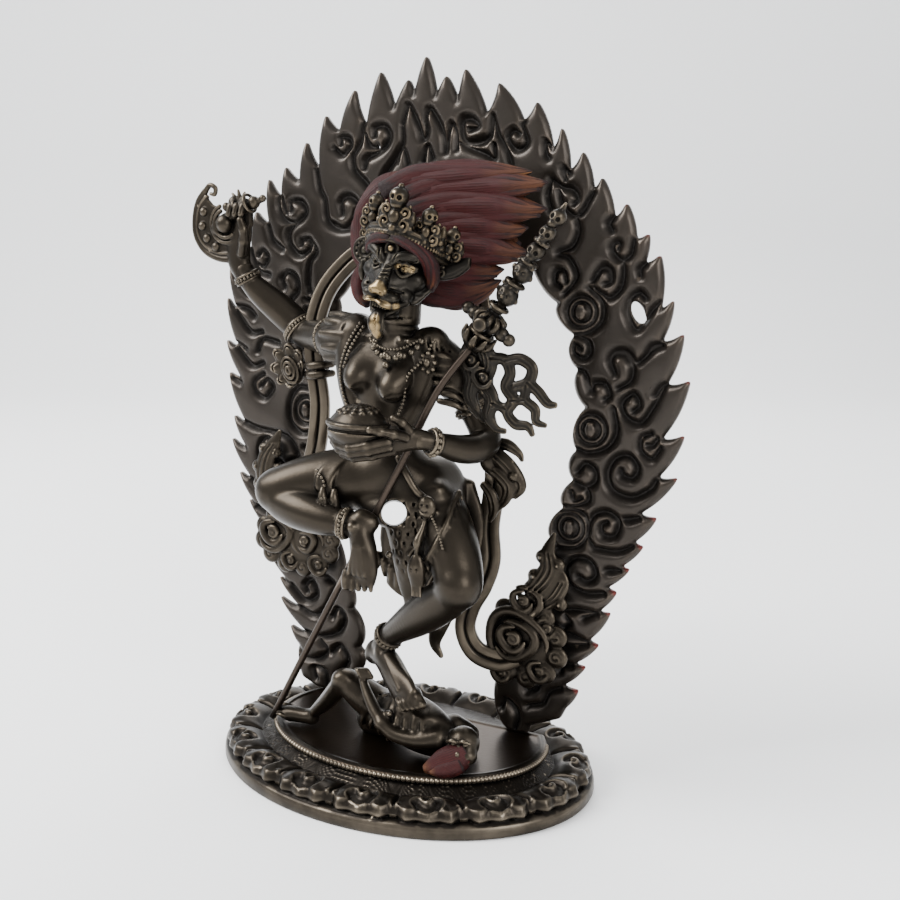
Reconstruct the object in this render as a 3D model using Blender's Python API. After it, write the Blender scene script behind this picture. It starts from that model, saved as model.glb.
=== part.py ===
"""Lion-faced dancing dakini on a lotus base, with a skull staff and a ring of flames behind her.

Four cast pieces in metres, +Z up. The base underside is centred on the origin and the figure faces -Y.
"""
import math

import bmesh
import bpy
import numpy as np
from mathutils import Matrix, Vector

# Driving sizes of the whole piece
UNIT = 0.001
BASE_LENGTH = 0.1318
BASE_DEPTH = 0.0934
BASE_BAND = 0.0052
PLATE_TOP = 0.0115
PLATE_LENGTH = 0.098
PLATE_DEPTH = 0.0668
PLATE_BACK = 0.0186
PETALS = 15
PETAL_RISE = 0.0016
FIGURE_SCALE = 1.0
AUREOLE_WIDTH_SCALE = 1.0
AUREOLE_FRONT = 0.0142
AUREOLE_BACK = 0.0184
STAFF_RADIUS = 0.00105
GAP = 0.0003

FIGURE_TRIANGLES = 5200
AUREOLE_TRIANGLES = 2400
STAFF_TRIANGLES = 700

for old in list(bpy.data.objects):
    bpy.data.objects.remove(old, do_unlink=True)


def curve(rows, steps):
    """Smooth rows through the given rows, all columns alike."""
    p = np.array(rows, float)
    p = np.vstack([2 * p[0] - p[1], p, 2 * p[-1] - p[-2]])
    out = []
    for i in range(1, len(p) - 2):
        a, b, c, d = p[i - 1:i + 3]
        for t in np.arange(steps) / steps:
            out.append(0.5 * (2 * b + (c - a) * t + (2 * a - 5 * b + 4 * c - d) * t * t
                              + (3 * b - a - 3 * c + d) * t ** 3))
    out.append(p[-2])
    return np.array(out)


class Form:
    """Closed shells in millimetres, gathered to be melted into one casting."""

    def __init__(self):
        self.verts = []
        self.faces = []

    def put(self, verts, faces):
        start = len(self.verts)
        self.verts += [tuple(v) for v in verts]
        self.faces += [tuple(i + start for i in f) for f in faces]

    def limb(self, rows, sides=12, steps=4, ends=3):
        """Swept round or oval bar through rows of x, y, z, half width and optional half depth."""
        rows = [tuple(r) + (r[3],) if len(r) == 4 else tuple(r) for r in rows]
        p = curve(rows, steps)
        p[:, 3:] = np.maximum(p[:, 3:], 0.35)
        way = np.gradient(p[:, :3], axis=0)
        way /= np.linalg.norm(way, axis=1)[:, None]
        rings = []
        side = None
        for row, t in zip(p, way):
            seed = np.array((0.0, -1.0, 0.0)) if side is None else np.cross(side, t)
            w = np.cross(t, seed)
            if np.linalg.norm(w) < 0.2:
                w = np.cross(t, (1.0, 0.0, 0.0))
            side = w / np.linalg.norm(w)
            rings.append((row, t, side, np.cross(side, t)))
        loops = []
        first, last = rings[0], rings[-1]
        for k in range(ends, 0, -1):
            a = math.pi / 2 * k / (ends + 0.5)
            loops.append((first, -math.sin(a), math.cos(a)))
        loops += [(r, 0.0, 1.0) for r in rings]
        for k in range(1, ends + 1):
            a = math.pi / 2 * k / (ends + 0.5)
            loops.append((last, math.sin(a), math.cos(a)))
        verts = []
        turn = np.arange(sides) * 2 * math.pi / sides
        for (row, t, s, d), along, size in loops:
            centre = row[:3] + t * along * row[3:].min()
            for a in turn:
                verts.append(centre + s * math.cos(a) * row[3] * size + d * math.sin(a) * row[4] * size)
        faces = []
        for i in range(len(loops) - 1):
            for j in range(sides):
                k = (j + 1) % sides
                faces.append((i * sides + j, i * sides + k, (i + 1) * sides + k, (i + 1) * sides + j))
        faces.append(tuple(range(sides))[::-1])
        faces.append(tuple((len(loops) - 1) * sides + j for j in range(sides)))
        self.put(verts, faces)

    def ball(self, x, y, z, rx, ry=None, rz=None, roll=0.0, pitch=0.0):
        """Ellipsoid, rolled about the front axis and pitched about the side axis, in degrees."""
        ry = rx if ry is None else ry
        rz = rx if rz is None else rz
        turn = np.array(Matrix.Rotation(math.radians(roll), 3, 'Y') @ Matrix.Rotation(math.radians(pitch), 3, 'X'))
        verts = [(0, 0, rz)]
        rings, sides = 7, 12
        for i in range(1, rings):
            a = math.pi * i / rings
            for j in range(sides):
                b = 2 * math.pi * j / sides
                verts.append((rx * math.sin(a) * math.cos(b), ry * math.sin(a) * math.sin(b), rz * math.cos(a)))
        verts.append((0, 0, -rz))
        faces = []
        for j in range(sides):
            k = (j + 1) % sides
            faces.append((0, 1 + j, 1 + k))
            for i in range(rings - 2):
                a, b = 1 + i * sides, 1 + (i + 1) * sides
                faces.append((a + j, b + j, b + k, a + k))
            a = 1 + (rings - 2) * sides
            faces.append((a + j, len(verts) - 1, a + k))
        self.put(np.array(verts) @ turn.T + (x, y, z), faces)

    def leaf(self, rows, back, front, steps=3):
        """Flame in the upright plane: rows of x, z and half width; ridged front at its spine, flat back."""
        p = curve(rows, steps)
        p[:, 2] = np.maximum(p[:, 2], 0.05)
        way = np.gradient(p[:, :2], axis=0)
        way /= np.linalg.norm(way, axis=1)[:, None]
        side = np.stack([-way[:, 1], way[:, 0]], 1)
        widest = p[:, 2].max()
        verts = []
        for (x, z, w), s in zip(p, side):
            lift = back + (front - back) * (0.45 + 0.55 * min(1.0, w / widest * 1.4))
            edge = back + (lift - back) * 0.5
            for k, y in ((-1, back), (-1, edge), (-0.5, lift * 0.75 + edge * 0.25), (0, lift),
                         (0.5, lift * 0.75 + edge * 0.25), (1, edge), (1, back)):
                verts.append((x + s[0] * w * k, y, z + s[1] * w * k))
        faces = []
        n = 7
        for i in range(len(p) - 1):
            for j in range(n):
                k = (j + 1) % n
                faces.append((i * n + j, i * n + k, (i + 1) * n + k, (i + 1) * n + j))
        faces.append(tuple(range(n))[::-1])
        faces.append(tuple((len(p) - 1) * n + j for j in range(n)))
        self.put(verts, faces)

    def scroll(self, x, y, z, reach, turns, start, thick, depth=None, sense=1):
        """Spiral bar in the upright plane, winding in from reach to its eye."""
        rows = []
        count = max(6, int(9 * turns))
        for i in range(count + 1):
            t = i / count
            a = math.radians(start) + sense * t * turns * 2 * math.pi
            r = reach * (1 - 0.86 * t)
            w = thick * (1 - 0.35 * t)
            rows.append((x + r * math.cos(a), y, z + r * math.sin(a), w, (depth or thick) * (1 - 0.2 * t)))
        self.limb(rows, sides=8, steps=1, ends=2)
        self.ball(x, y, z, thick * 1.1, depth or thick, thick * 1.1)


def material(name, colour, rough, metal=0.75):
    m = bpy.data.materials.new(name)
    m.use_nodes = True
    s = m.node_tree.nodes["Principled BSDF"]
    s.inputs["Base Color"].default_value = (*colour, 1)
    s.inputs["Roughness"].default_value = rough
    s.inputs["Metallic"].default_value = metal
    m.diffuse_color = (*colour, 1)
    return m


def add_object(name, mesh, mat=None, smooth=True):
    for poly in mesh.polygons:
        poly.use_smooth = smooth
    obj = bpy.data.objects.new(name, mesh)
    bpy.context.collection.objects.link(obj)
    if mat:
        mesh.materials.append(mat)
    return obj


def shell(name, form, place, voxel, triangles, clear=None):
    """Mesh of a form in metres, melted into one skin, cleared of its neighbours and thinned."""
    plugs = Form()
    points = [tuple(place(v)) for v in form.verts]
    for attempt in range(6):
        mesh = bpy.data.meshes.new(name)
        mesh.from_pydata(points + plugs.verts, [],
                         form.faces + [tuple(i + len(points) for i in f) for f in plugs.faces])
        obj = add_object(name, mesh)
        melt = obj.modifiers.new("melt", 'REMESH')
        melt.mode = 'VOXEL'
        melt.voxel_size = voxel
        obj.data = baked(obj)
        obj.modifiers.clear()
        if clear:
            move(obj.data, clear)
        thin = obj.modifiers.new("thin", 'DECIMATE')
        thin.ratio = triangles / sum(len(p.vertices) - 2 for p in obj.data.polygons)
        done = baked(obj)
        bpy.data.objects.remove(obj, do_unlink=True)
        if clear:
            move(done, clear)
        keep_outer_skin(done)
        pinches = pinched(done)
        if not pinches:
            break
        for x, y, z in pinches:
            plugs.ball(x, y, z, voxel * 1.6)
    done.name = name
    done.materials.clear()
    return done


def pinched(mesh):
    """Points where two sheets of the skin only just touch."""
    bm = bmesh.new()
    bm.from_mesh(mesh)
    spots = [tuple(v.co) for v in bm.verts if not v.is_manifold]
    bm.free()
    return spots


def baked(obj):
    bpy.context.view_layer.update()
    return bpy.data.meshes.new_from_object(obj.evaluated_get(bpy.context.evaluated_depsgraph_get()))


def move(mesh, change):
    """Run every point of a mesh through a change of an array of points."""
    points = np.empty(len(mesh.vertices) * 3)
    mesh.vertices.foreach_get("co", points)
    points = change(points.reshape(-1, 3))
    mesh.vertices.foreach_set("co", points.ravel())
    mesh.update()


def keep_outer_skin(mesh):
    """Leave only the largest connected skin, with no crumb and no sealed pocket."""
    bm = bmesh.new()
    bm.from_mesh(mesh)
    bm.verts.ensure_lookup_table()
    seen = set()
    groups = []
    for v in bm.verts:
        if v.index in seen:
            continue
        stack, group = [v], []
        seen.add(v.index)
        while stack:
            a = stack.pop()
            group.append(a)
            for e in a.link_edges:
                b = e.other_vert(a)
                if b.index not in seen:
                    seen.add(b.index)
                    stack.append(b)
        groups.append(group)
    groups.sort(key=len, reverse=True)
    for group in groups[1:]:
        bmesh.ops.delete(bm, geom=group, context='VERTS')
    bmesh.ops.triangulate(bm, faces=bm.faces)
    bmesh.ops.recalc_face_normals(bm, faces=bm.faces)
    bm.to_mesh(mesh)
    bm.free()


# Lotus base: rings from the underside up over the petals and neck to the plate
SIDES = PETALS * 5


def ring(length, depth, z, shift=0.0, cut=None, lobes=0.0, rise=0.0):
    out = []
    for i in range(SIDES):
        a = 2 * math.pi * i / SIDES
        wave = abs(math.sin(a * PETALS / 2))
        tip = 1 + lobes * wave ** 0.6
        x = length / 2 * math.cos(a) * tip
        y = depth / 2 * math.sin(a) * tip + shift
        if cut is not None:
            y = min(y, cut)
        out.append((x, y, z + rise * wave ** 0.7))
    return out


RINGS = [
    ring(BASE_LENGTH * 0.985, BASE_DEPTH * 0.98, 0),
    ring(BASE_LENGTH, BASE_DEPTH, BASE_BAND * 0.25),
    ring(BASE_LENGTH * 0.992, BASE_DEPTH * 0.99, BASE_BAND * 0.9),
    ring(BASE_LENGTH * 0.955, BASE_DEPTH * 0.94, BASE_BAND, lobes=0.028),
    ring(BASE_LENGTH * 0.948, BASE_DEPTH * 0.935, BASE_BAND + PETAL_RISE * 0.7, lobes=0.03, rise=PETAL_RISE),
    ring(BASE_LENGTH * 0.87, BASE_DEPTH * 0.85, BASE_BAND + PETAL_RISE * 1.2, rise=PETAL_RISE * 1.25),
    ring(BASE_LENGTH * 0.79, BASE_DEPTH * 0.77, BASE_BAND + PETAL_RISE * 0.8, rise=PETAL_RISE * 0.4),
    ring(PLATE_LENGTH * 0.955, PLATE_DEPTH * 0.94, PLATE_TOP - 0.0022, shift=0.003, cut=PLATE_BACK - 0.0008),
    ring(PLATE_LENGTH, PLATE_DEPTH, PLATE_TOP - 0.0018, shift=0.003, cut=PLATE_BACK),
    ring(PLATE_LENGTH, PLATE_DEPTH, PLATE_TOP - 0.0006, shift=0.003, cut=PLATE_BACK),
    ring(PLATE_LENGTH * 0.97, PLATE_DEPTH * 0.96, PLATE_TOP, shift=0.003, cut=PLATE_BACK - 0.0006),
]
verts = [v for r in RINGS for v in r]
faces = []
for i in range(len(RINGS) - 1):
    for j in range(SIDES):
        k = (j + 1) % SIDES
        faces.append((i * SIDES + j, i * SIDES + k, (i + 1) * SIDES + k, (i + 1) * SIDES + j))
faces.append(tuple(range(SIDES))[::-1])
faces.append(tuple((len(RINGS) - 1) * SIDES + j for j in range(SIDES)))
base_mesh = bpy.data.meshes.new("lotus_base")
base_mesh.from_pydata(verts, [], faces)
add_object("lotus_base", base_mesh, material("lotus_base", (0.13, 0.095, 0.07), 0.38), smooth=False)

# Figure: limbs and cloth as rows of x, y, z and half widths in millimetres above the floor
TORSO = (
    (4.8, -10.5, 94.7, 12.5, 9), (4, -12, 103.8, 11.5, 8.8), (2.2, -13, 113.8, 7.8, 6.6),
    (1.9, -13, 123.7, 9.4, 7.4), (2.8, -12.5, 133.6, 12, 8.6), (3.2, -10, 140.7, 12, 6.4),
    (5.7, -10, 145.3, 6.2, 5.4), (7.6, -11.5, 152, 5.4, 5.4),
)
LIMBS = (
    ((-12.1, -10, 141.9, 6.2), (-23, -5, 142.1, 5.6), (-34.7, 0, 142.4, 4.3), (-39, 1, 145.1, 4),
     (-42.6, 0, 149.3, 4.2), (-48.7, -2, 153.2, 3.9), (-53.2, -4, 157.5, 3.2), (-55.2, -5, 160.8, 2.9),
     (-57.5, -5, 165.6, 3.5), (-58.6, -6, 170.2, 3.5)),
    ((19.8, -8, 139.4, 6.2), (24.3, -7, 131.7, 5.4), (29.2, -6, 123.1, 4.6), (33.7, -6, 114.1, 4.7),
     (32.8, -13, 112.1, 4.4), (29.8, -21, 112.8, 3.7), (27.1, -27, 115.3, 3.1), (22.2, -31, 116.3, 3.6),
     (15.4, -34, 115.7, 2.7), (1.7, -34, 113.4, 1.5)),
    ((2.4, -13, 101.9, 9.5), (-9.5, -18, 99.8, 9.3), (-21.1, -23, 98, 8.2), (-28.2, -26, 96.2, 6.8)),
    ((-29.4, -26, 94.8, 6), (-17.8, -29, 91, 6.2), (-7.2, -30, 89.3, 4.8), (0, -30, 88.9, 3.7),
     (3.7, -28, 89.2, 3.4)),
    ((2.2, -29, 88.3, 3.6), (5.9, -30.5, 80.5, 4.3), (5.4, -30, 74.2, 4.5), (4, -29, 69.3, 2.6)),
    ((15.7, -9, 96.2, 10), (24, -14, 86.3, 9.2), (30.7, -19, 77.9, 7.8), (32.1, -21, 71.3, 6.7)),
    ((32.4, -21, 71.3, 6.2), (23.4, -18, 64.4, 6), (13.2, -15, 57, 5.4), (2.2, -12, 49, 3.8),
     (-3.9, -9, 42.2, 4)),
    ((-6.1, -8, 40.1, 3.6), (0.2, -12, 39.9, 4.2), (8.4, -17, 35.8, 4.8), (15.3, -22, 33.4, 4.4),
     (17.9, -24, 32.4, 2.4)),
)
# The trampled body under her, lying on its back on the plate
CORPSE = (
    ((-6, -6, 19, 7, 8), (4.7, -10, 24, 8.5, 10), (14, -13, 24, 9.5, 9), (22.4, -14, 21, 8, 7),
     (29, -14, 18, 4, 4)),
    ((-3.2, -8, 20.6, 6), (-13, -12, 29.1, 4.8), (-16.2, -12, 28.1, 4.2), (-26.9, -12, 16.8, 2.8),
     (-32.8, -12, 14.2, 2.6), (-39, -12, 14.4, 2.4)),
    ((-7.3, -14, 35.6, 2.4), (-2.1, -17, 29.7, 2.6), (4.2, -20, 23.6, 3), (13.2, -21, 20.7, 3.4),
     (23, -19, 19.6, 4)),
)
SCARF_LEFT = (
    (-5.5, 10, 178.3, 3, 1.4), (-14.9, 9, 171.7, 3, 1.4), (-24.1, 6, 165.7, 3, 1.4), (-30.2, 2, 156.1, 3, 1.4),
    (-32.1, -2, 143.9, 3, 1.4), (-30.1, -3, 131, 3, 1.4), (-28.8, -2, 117.8, 3.2, 1.4),
    (-32.3, -1, 102.2, 3.2, 1.4), (-42.9, 4, 87.5, 3.2, 1.6), (-52.6, 9, 77.3, 3.6, 1.8),
)
SCARF_RIGHT = (
    (9, 10, 174.1, 3, 1.4), (23.4, 8, 158.9, 3, 1.4), (26.6, 6, 139.2, 3, 1.4), (26.5, 3, 123.8, 3, 1.4),
    (31.7, 0, 112.4, 3, 1.4), (33.5, 0, 100.6, 3, 1.4), (29.9, 2, 88.1, 3, 1.4), (30.6, 3, 73.5, 3, 1.4),
    (23.5, 5, 58.5, 3, 1.4), (20.4, 6, 47.6, 3, 1.4), (24.5, 7, 39.5, 3.2, 1.5), (32, 9, 38.1, 3.6, 1.8),
)
LOCKS = (
    ((0, -4, 182.9, 6), (9.3, 0, 190, 5.5), (24.1, 1, 191, 4.5), (40, 1, 191.5, 1)),
    ((5, -2, 180, 7), (15.6, 1, 186, 6), (32.3, 1, 188, 4.5), (46.5, 0, 186.9, 1)),
    ((5.1, -2, 177, 8), (19, 1, 180.7, 6.5), (34, 1, 182, 5), (46.5, 0, 179.6, 1)),
    ((6.9, -2, 172.5, 8), (20.8, 1, 175, 6.5), (34, 1, 176, 5), (45.5, 0, 173.7, 1)),
    ((6.8, -2, 169.5, 8), (19.1, 1, 169.5, 6.5), (31.5, 1, 169.6, 5), (41.7, 0, 167.7, 1)),
    ((5.1, -2, 165.9, 8), (15.6, 1, 164.1, 6.5), (27.5, 1, 163.6, 4.5), (36.6, 0, 162.2, 1)),
    ((0.9, -1, 164, 8), (10.4, 1, 160.4, 6), (21.5, 1, 158, 4), (30.8, 0, 156.6, 1)),
    ((-4.5, -1, 168, 7), (-8, -1, 180.2, 6), (-4.2, -1, 188, 5), (6.9, 0, 193.4, 1.5)),
    ((-7, 0, 165.8, 7), (-12.5, 0, 172.6, 4), (-12.8, 0, 177.2, 3.4), (-9.6, 0, 183.8, 2)),
)
SHAFT = STAFF_RADIUS / UNIT
STAFF_BARS = (
    ((-43.6, -14, 12.4, SHAFT), (-24.4, -18.5, 42.7, SHAFT), (-7.2, -23, 69.5, SHAFT), (6.5, -24.5, 93.1, SHAFT),
     (14.4, -23.5, 107.7, SHAFT), (24.6, -20, 129.3, SHAFT), (35.2, -16, 144.1, SHAFT), (43.5, -14.5, 156.1, SHAFT),
     (50.5, -14, 166.7, SHAFT), (58.1, -14, 176.9, SHAFT)),
    ((36, -16, 146, 2), (38.5, -15, 135, 2), (34.5, -14, 127, 2), (40.5, -14, 119, 1.6), (44.5, -14, 125, 1.3)),
    ((40, -15, 141, 1.6), (46.5, -14, 131, 1.5), (43, -14, 124, 1.4), (50, -14, 118, 1.2), (53, -14, 126, 1)),
    ((35, -16, 142, 1.8), (31, -14.5, 134, 1.8), (33, -14, 124, 1.6), (36.5, -14, 117, 1.4)),
)
# Lotus, vase, two heads and skulls up the shaft, as centre, radius and half height
STAFF_BEADS = (
    (35.2, -16, 144.1, 4.4, 2.6), (39.5, -15.2, 150.4, 3.6, 3.2), (44, -14.5, 156.8, 3.4, 3.4),
    (48.2, -14, 163, 3.2, 3.2), (52.2, -14, 169, 2.9, 2.9), (55.6, -14, 173.6, 2.5, 2.5),
    (58.6, -14, 177.6, 2.3, 2.7),
)

figure = Form()
figure.limb(TORSO, sides=16)
for rows in LIMBS + CORPSE:
    figure.limb(rows)
for rows in SCARF_LEFT, SCARF_RIGHT:
    figure.limb(rows, sides=8)
for rows in LOCKS:
    figure.limb(rows, sides=8)
for x, y, z, r in ((-2.6, -20.5, 131.5, 4.8), (8.4, -21, 129, 4.8), (-12, -10, 142, 7), (20, -8, 139, 6.8)):
    figure.ball(x, y, z, r)
# Head, jaw, ears, crown band and five skull-topped jewels
figure.ball(9.5, -13.5, 165, 9.6, 10, 11.5, roll=14)
figure.ball(8.7, -22, 159.5, 5.2, 5, 4, roll=14)
figure.ball(8.2, -19.5, 154.4, 4.6, 4.6, 3.6, roll=14)
figure.limb(((8, -23, 155, 1.8, 1), (7.4, -24.5, 150, 1.6, 1), (7.4, -24.6, 146.6, 0.8, 0.8)), sides=8)
HEAD_UP = np.array((0.24, 0.0, 0.97))
HEAD_RIGHT = np.array((0.97, 0.0, -0.24))
BAND = []
for k in range(13):
    a = math.pi * (k / 12 * 1.16 - 0.08)
    c = np.array((10.6, -13.0, 169.6)) + HEAD_RIGHT * -math.cos(a) * 11.2 + np.array((0, -1, 0)) * math.sin(a) * 11.4
    BAND.append((*c, 1.4, 1.6))
figure.limb(BAND, sides=8, steps=1)
for k in range(5):
    a = math.pi * (0.06 + 0.22 * k)
    c = np.array((10.6, -13.0, 169.6)) + HEAD_RIGHT * -math.cos(a) * 11.6 + np.array((0, -1, 0)) * math.sin(a) * 11.8
    tall = (5.6, 7.4, 8.2, 7.4, 5.6)[k]
    figure.limb([(*(c + HEAD_UP * h), w) for h, w in ((0, 1.6), (tall * 0.5, 2.2), (tall, 2.0))], sides=8, steps=2)
for x, z in (((-2.4), 168.5), (21.6, 162.5)):
    figure.ball(x, -12, z, 2.4, 2.2, 4.2, roll=14)
# Skull cup, chopper, knots and bows, skirt folds, hanging pendants
figure.ball(6.2, -35.2, 118.2, 8.6, 8.2, 5.2)
figure.limb(((-69, -6, 184, 1.6, 1), (-70.5, -6, 176, 3, 1), (-67, -6, 169, 4.2, 1), (-61, -6, 166.5, 3.6, 1),
             (-56, -6, 166.5, 1.4, 1)), sides=8)
figure.limb(((-59, -6, 168, 1.6), (-60, -6, 176, 1.8), (-56, -6, 182, 1.8), (-53, -6, 186.5, 1.2)), sides=8)
figure.ball(-60, -6, 178.5, 3.4, 2.4, 3.4)
figure.ball(-40.6, -3, 130.5, 6.2, 2, 5.2)
figure.ball(-31, -4, 130.5, 3.6, 2.4, 3.4)
figure.limb(((30, -4, 108, 2.4), (38, -3, 103, 4.4, 2), (41, -3, 98, 4.2, 2), (36, -2, 92, 1.6, 1.4)), sides=8)
figure.limb(((14, -2, 104, 6, 2.6), (18, -3, 92, 8, 2.6), (14, -4, 78, 9, 2.6), (6, -4, 66, 6, 2.2),
             (4, -4, 59.5, 3, 1.6)), sides=10)
figure.limb(((6, -3, 97, 7, 2.6), (-4, -8, 92, 5, 4), (-8, -12, 96, 5, 5)), sides=10)
figure.limb(((22, -2, 84, 6, 2), (20, 0, 62, 3.5, 1.6), (14, 0, 48, 2.2, 1.4), (12.3, 0, 40, 0.8, 0.8)), sides=8)
for rows in (((17, -18, 104, 1.6), (18.5, -20, 92, 1.8), (17, -22, 84, 2.2), (15, -24, 78, 2)),
             ((10, -20, 100, 1.6), (12, -24, 86, 1.4), (13, -26, 76, 2.2), (13, -26, 70, 2))):
    figure.limb(rows, sides=8)
# Curling cloud ends of the scarf
for x, z, reach, turns, start, sense in (
        (-52, 68, 9.5, 1.5, 100, 1), (-40, 71, 6, 1.1, 200, -1), (-60.5, 79, 5.5, 1.2, 300, 1),
        (-60, 86, 4.5, 0.9, 250, -1), (-45, 60, 5, 1.0, 20, -1), (-59, 61, 5, 1.0, 160, 1)):
    figure.scroll(x, 10.6, z, reach, turns, start, 2.2, 2.2, sense)
figure.limb(((-58, 10, 80, 4, 2), (-62, 10, 90, 3.6, 2), (-61, 10, 97, 3.4, 2), (-57, 10, 101, 1, 1)), sides=8)
for x, z, reach, turns, start, sense in (
        (37, 46.5, 9.5, 1.5, 250, -1), (39.5, 58, 6, 1.2, 260, 1), (31, 56, 4.6, 1.0, 150, -1),
        (46, 40, 4.6, 1.0, 340, 1), (30, 37.5, 4.4, 1.0, 200, 1)):
    figure.scroll(x, 10.6, z, reach, turns, start, 2.2, 2.2, sense)
figure.limb(((40, 10, 60, 4, 2), (46, 10, 68, 3.6, 2), (47.5, 10, 74, 2.6, 2), (50, 10, 79, 0.8, 0.8)), sides=8)
# Head and hair of the body underfoot
figure.ball(32, -14, 17.5, 5, 4.6, 5)
figure.limb(((31, -17, 17, 4, 3), (26, -20, 15, 5, 3), (20, -22, 14.2, 2.4, 2.4)), sides=8)

FLOOR = PLATE_TOP / UNIT + GAP / UNIT


def place_figure(v):
    """Millimetre point to metres, on the plate and clear of the flame ring."""
    x, y, z = v[0], v[1], v[2]
    rise = max(0.0, z - 11.8) * FIGURE_SCALE
    return Vector((x * FIGURE_SCALE * UNIT, y * FIGURE_SCALE * UNIT, rise * UNIT + FLOOR * UNIT))


def place_staff(v):
    return Vector((v[0] * FIGURE_SCALE * UNIT, v[1] * FIGURE_SCALE * UNIT,
                   (v[2] - 11.8) * FIGURE_SCALE * UNIT + FLOOR * UNIT))


def clear_figure(points):
    """Keep the figure above the plate, before the flame ring and off every part of the staff."""
    points[:, 2] = np.maximum(points[:, 2], PLATE_TOP + GAP)
    points[:, 1] = np.minimum(points[:, 1], AUREOLE_FRONT - GAP)
    for rows in STAFF_BARS:
        bar = curve(rows, 3)
        centre = np.array([place_staff(r) for r in bar])
        radius = bar[:, 3] * FIGURE_SCALE * UNIT + 2.6 * GAP
        for a, b, r in zip(centre[:-1], centre[1:], radius):
            t = np.clip((points - a) @ (b - a) / ((b - a) @ (b - a)), 0, 1)
            foot = a + t[:, None] * (b - a)
            off = points - foot
            far = np.linalg.norm(off, axis=1)
            near = far < r
            points[near] = foot[near] + off[near] / np.maximum(far[near], 1e-6)[:, None] * r
    return points


dakini_mesh = shell("dakini", figure, place_figure, 0.00085, FIGURE_TRIANGLES, clear_figure)
dakini = add_object("dakini", dakini_mesh, material("dakini", (0.16, 0.13, 0.10), 0.32))

# Flame ring: outline points as x, z in millimetres, tips and the valleys between them
TIPS_RIGHT = (
    (0.9, 229.7), (8, 223.1), (14.6, 224.8), (25.8, 219.9), (38.7, 213.6), (46.5, 206.3), (53.6, 198.6),
    (59.7, 191), (67.5, 183.4), (74.7, 174.5), (78.2, 168.4), (82.8, 156), (86.1, 145.9), (88.5, 132.3),
    (87.6, 116.1), (86.2, 103.2), (80.1, 90.1), (76.2, 80.6), (72.2, 72.9), (68.1, 64.8), (66.3, 58),
    (62.8, 46.6), (58.6, 38.6), (56.1, 30.1),
)
VALLEYS_RIGHT = (
    (4.4, 216.9), (12.1, 214.9), (22.1, 210.5), (34.5, 207.8), (44.1, 198.7), (49.6, 192.4), (57.3, 186.8),
    (64, 178.6), (70.9, 172.6), (73.5, 165.4), (78.8, 152.3), (79.4, 142.8), (81.4, 130.3), (80.4, 113.9),
    (79.6, 102.1), (74.3, 90.4), (72.8, 81.2), (68.9, 73), (64.6, 65.7), (61.9, 57.4), (59.1, 47.4),
    (54.2, 38.8), (50.6, 30.7), (50, 19.2),
)
TIPS_LEFT = (
    (-5.6, 223), (-15.9, 226.2), (-25.5, 221.5), (-37.4, 214), (-45.3, 206.1), (-54.3, 198), (-61.6, 194.6),
    (-67.5, 183.4), (-74.7, 174.5), (-80.2, 165), (-81.9, 154.1), (-83.1, 138.3), (-82.3, 126.4),
    (-81, 110.8), (-82.5, 102.4), (-79.5, 89.9), (-76, 80.6), (-72, 72.5), (-68, 62.5), (-63.1, 52.5),
    (-62.8, 44.6), (-58.2, 33.8), (-54, 27),
)
VALLEYS_LEFT = (
    (-3.5, 217.7), (-10.9, 214.3), (-21.5, 209.3), (-32, 208.3), (-40.3, 196.5), (-48.6, 192.8),
    (-56.3, 187.4), (-62, 178.6), (-70, 170), (-75, 158), (-77, 148), (-77.5, 135.4), (-76.4, 124),
    (-75, 109.8), (-74, 100.3), (-73, 88), (-71, 78), (-66, 69), (-60, 58), (-56, 48), (-51.5, 42.8),
    (-49.6, 34.4), (-50, 22),
)
INNER_RIGHT = (
    (3, 191), (16, 189), (27, 182), (34.6, 174), (41.7, 165.9), (47.2, 154.6), (52.2, 144.8), (54.1, 133.6),
    (56, 122.8), (55, 109), (53, 98.8), (50, 90.2), (46, 80), (41, 68), (35, 55), (29, 42), (26, 30),
    (27, 20), (31, 12.6),
)
INNER_LEFT = (
    (-10, 189), (-20, 180), (-27.4, 165), (-34, 152), (-39, 138), (-42, 122), (-43, 106), (-42, 90),
    (-38, 72), (-33, 56), (-29, 44), (-27, 33), (-30, 22), (-38, 12.6),
)
# The solid web between the inner edge and the roots of the flames, as centre x, z and half width
WEB = (
    (-44, 11, 4.6), (-43, 18, 6.5), (-41, 27, 8.5), (-42, 42, 10.5), (-49, 60, 13), (-56, 80, 15), (-60, 104, 16.4),
    (-60, 128, 17.5), (-56, 152, 18.5), (-46, 172, 17.5), (-30, 190, 15.5), (-12, 201, 13.2), (3, 203.5, 12.8),
    (18, 200, 13.8), (34, 189, 14.8), (49, 174, 15.5), (60, 155, 15.8), (67, 132, 14), (66.5, 110, 13.4),
    (62, 88, 14), (54, 66, 15), (45, 46, 14), (40, 30, 11), (37, 19, 7), (35.5, 11, 4.6),
)

ring_form = Form()
FRONT = AUREOLE_FRONT / UNIT
BACK = AUREOLE_BACK / UNIT
MID = FRONT + (BACK - FRONT) * 0.45
p = curve(WEB, 3)
way = np.gradient(p[:, :2], axis=0)
way /= np.linalg.norm(way, axis=1)[:, None]
verts = []
for (x, z, w), t in zip(p, way):
    for k, y in ((-1, BACK), (-1, MID + 0.4), (1, MID + 0.4), (1, BACK)):
        verts.append((x - t[1] * w * k, y, z + t[0] * w * k))
faces = []
for i in range(len(p) - 1):
    for j in range(4):
        k = (j + 1) % 4
        faces.append((i * 4 + j, i * 4 + k, i * 4 + 4 + k, i * 4 + 4 + j))
faces.append((3, 2, 1, 0))
faces.append(tuple(len(p) * 4 - 4 + j for j in range(4)))
ring_form.put(verts, faces)


def nearest_web(x, z):
    d = np.hypot(p[:, 0] - x, p[:, 1] - z)
    i = int(d.argmin())
    return p[i], way[i]


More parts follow.
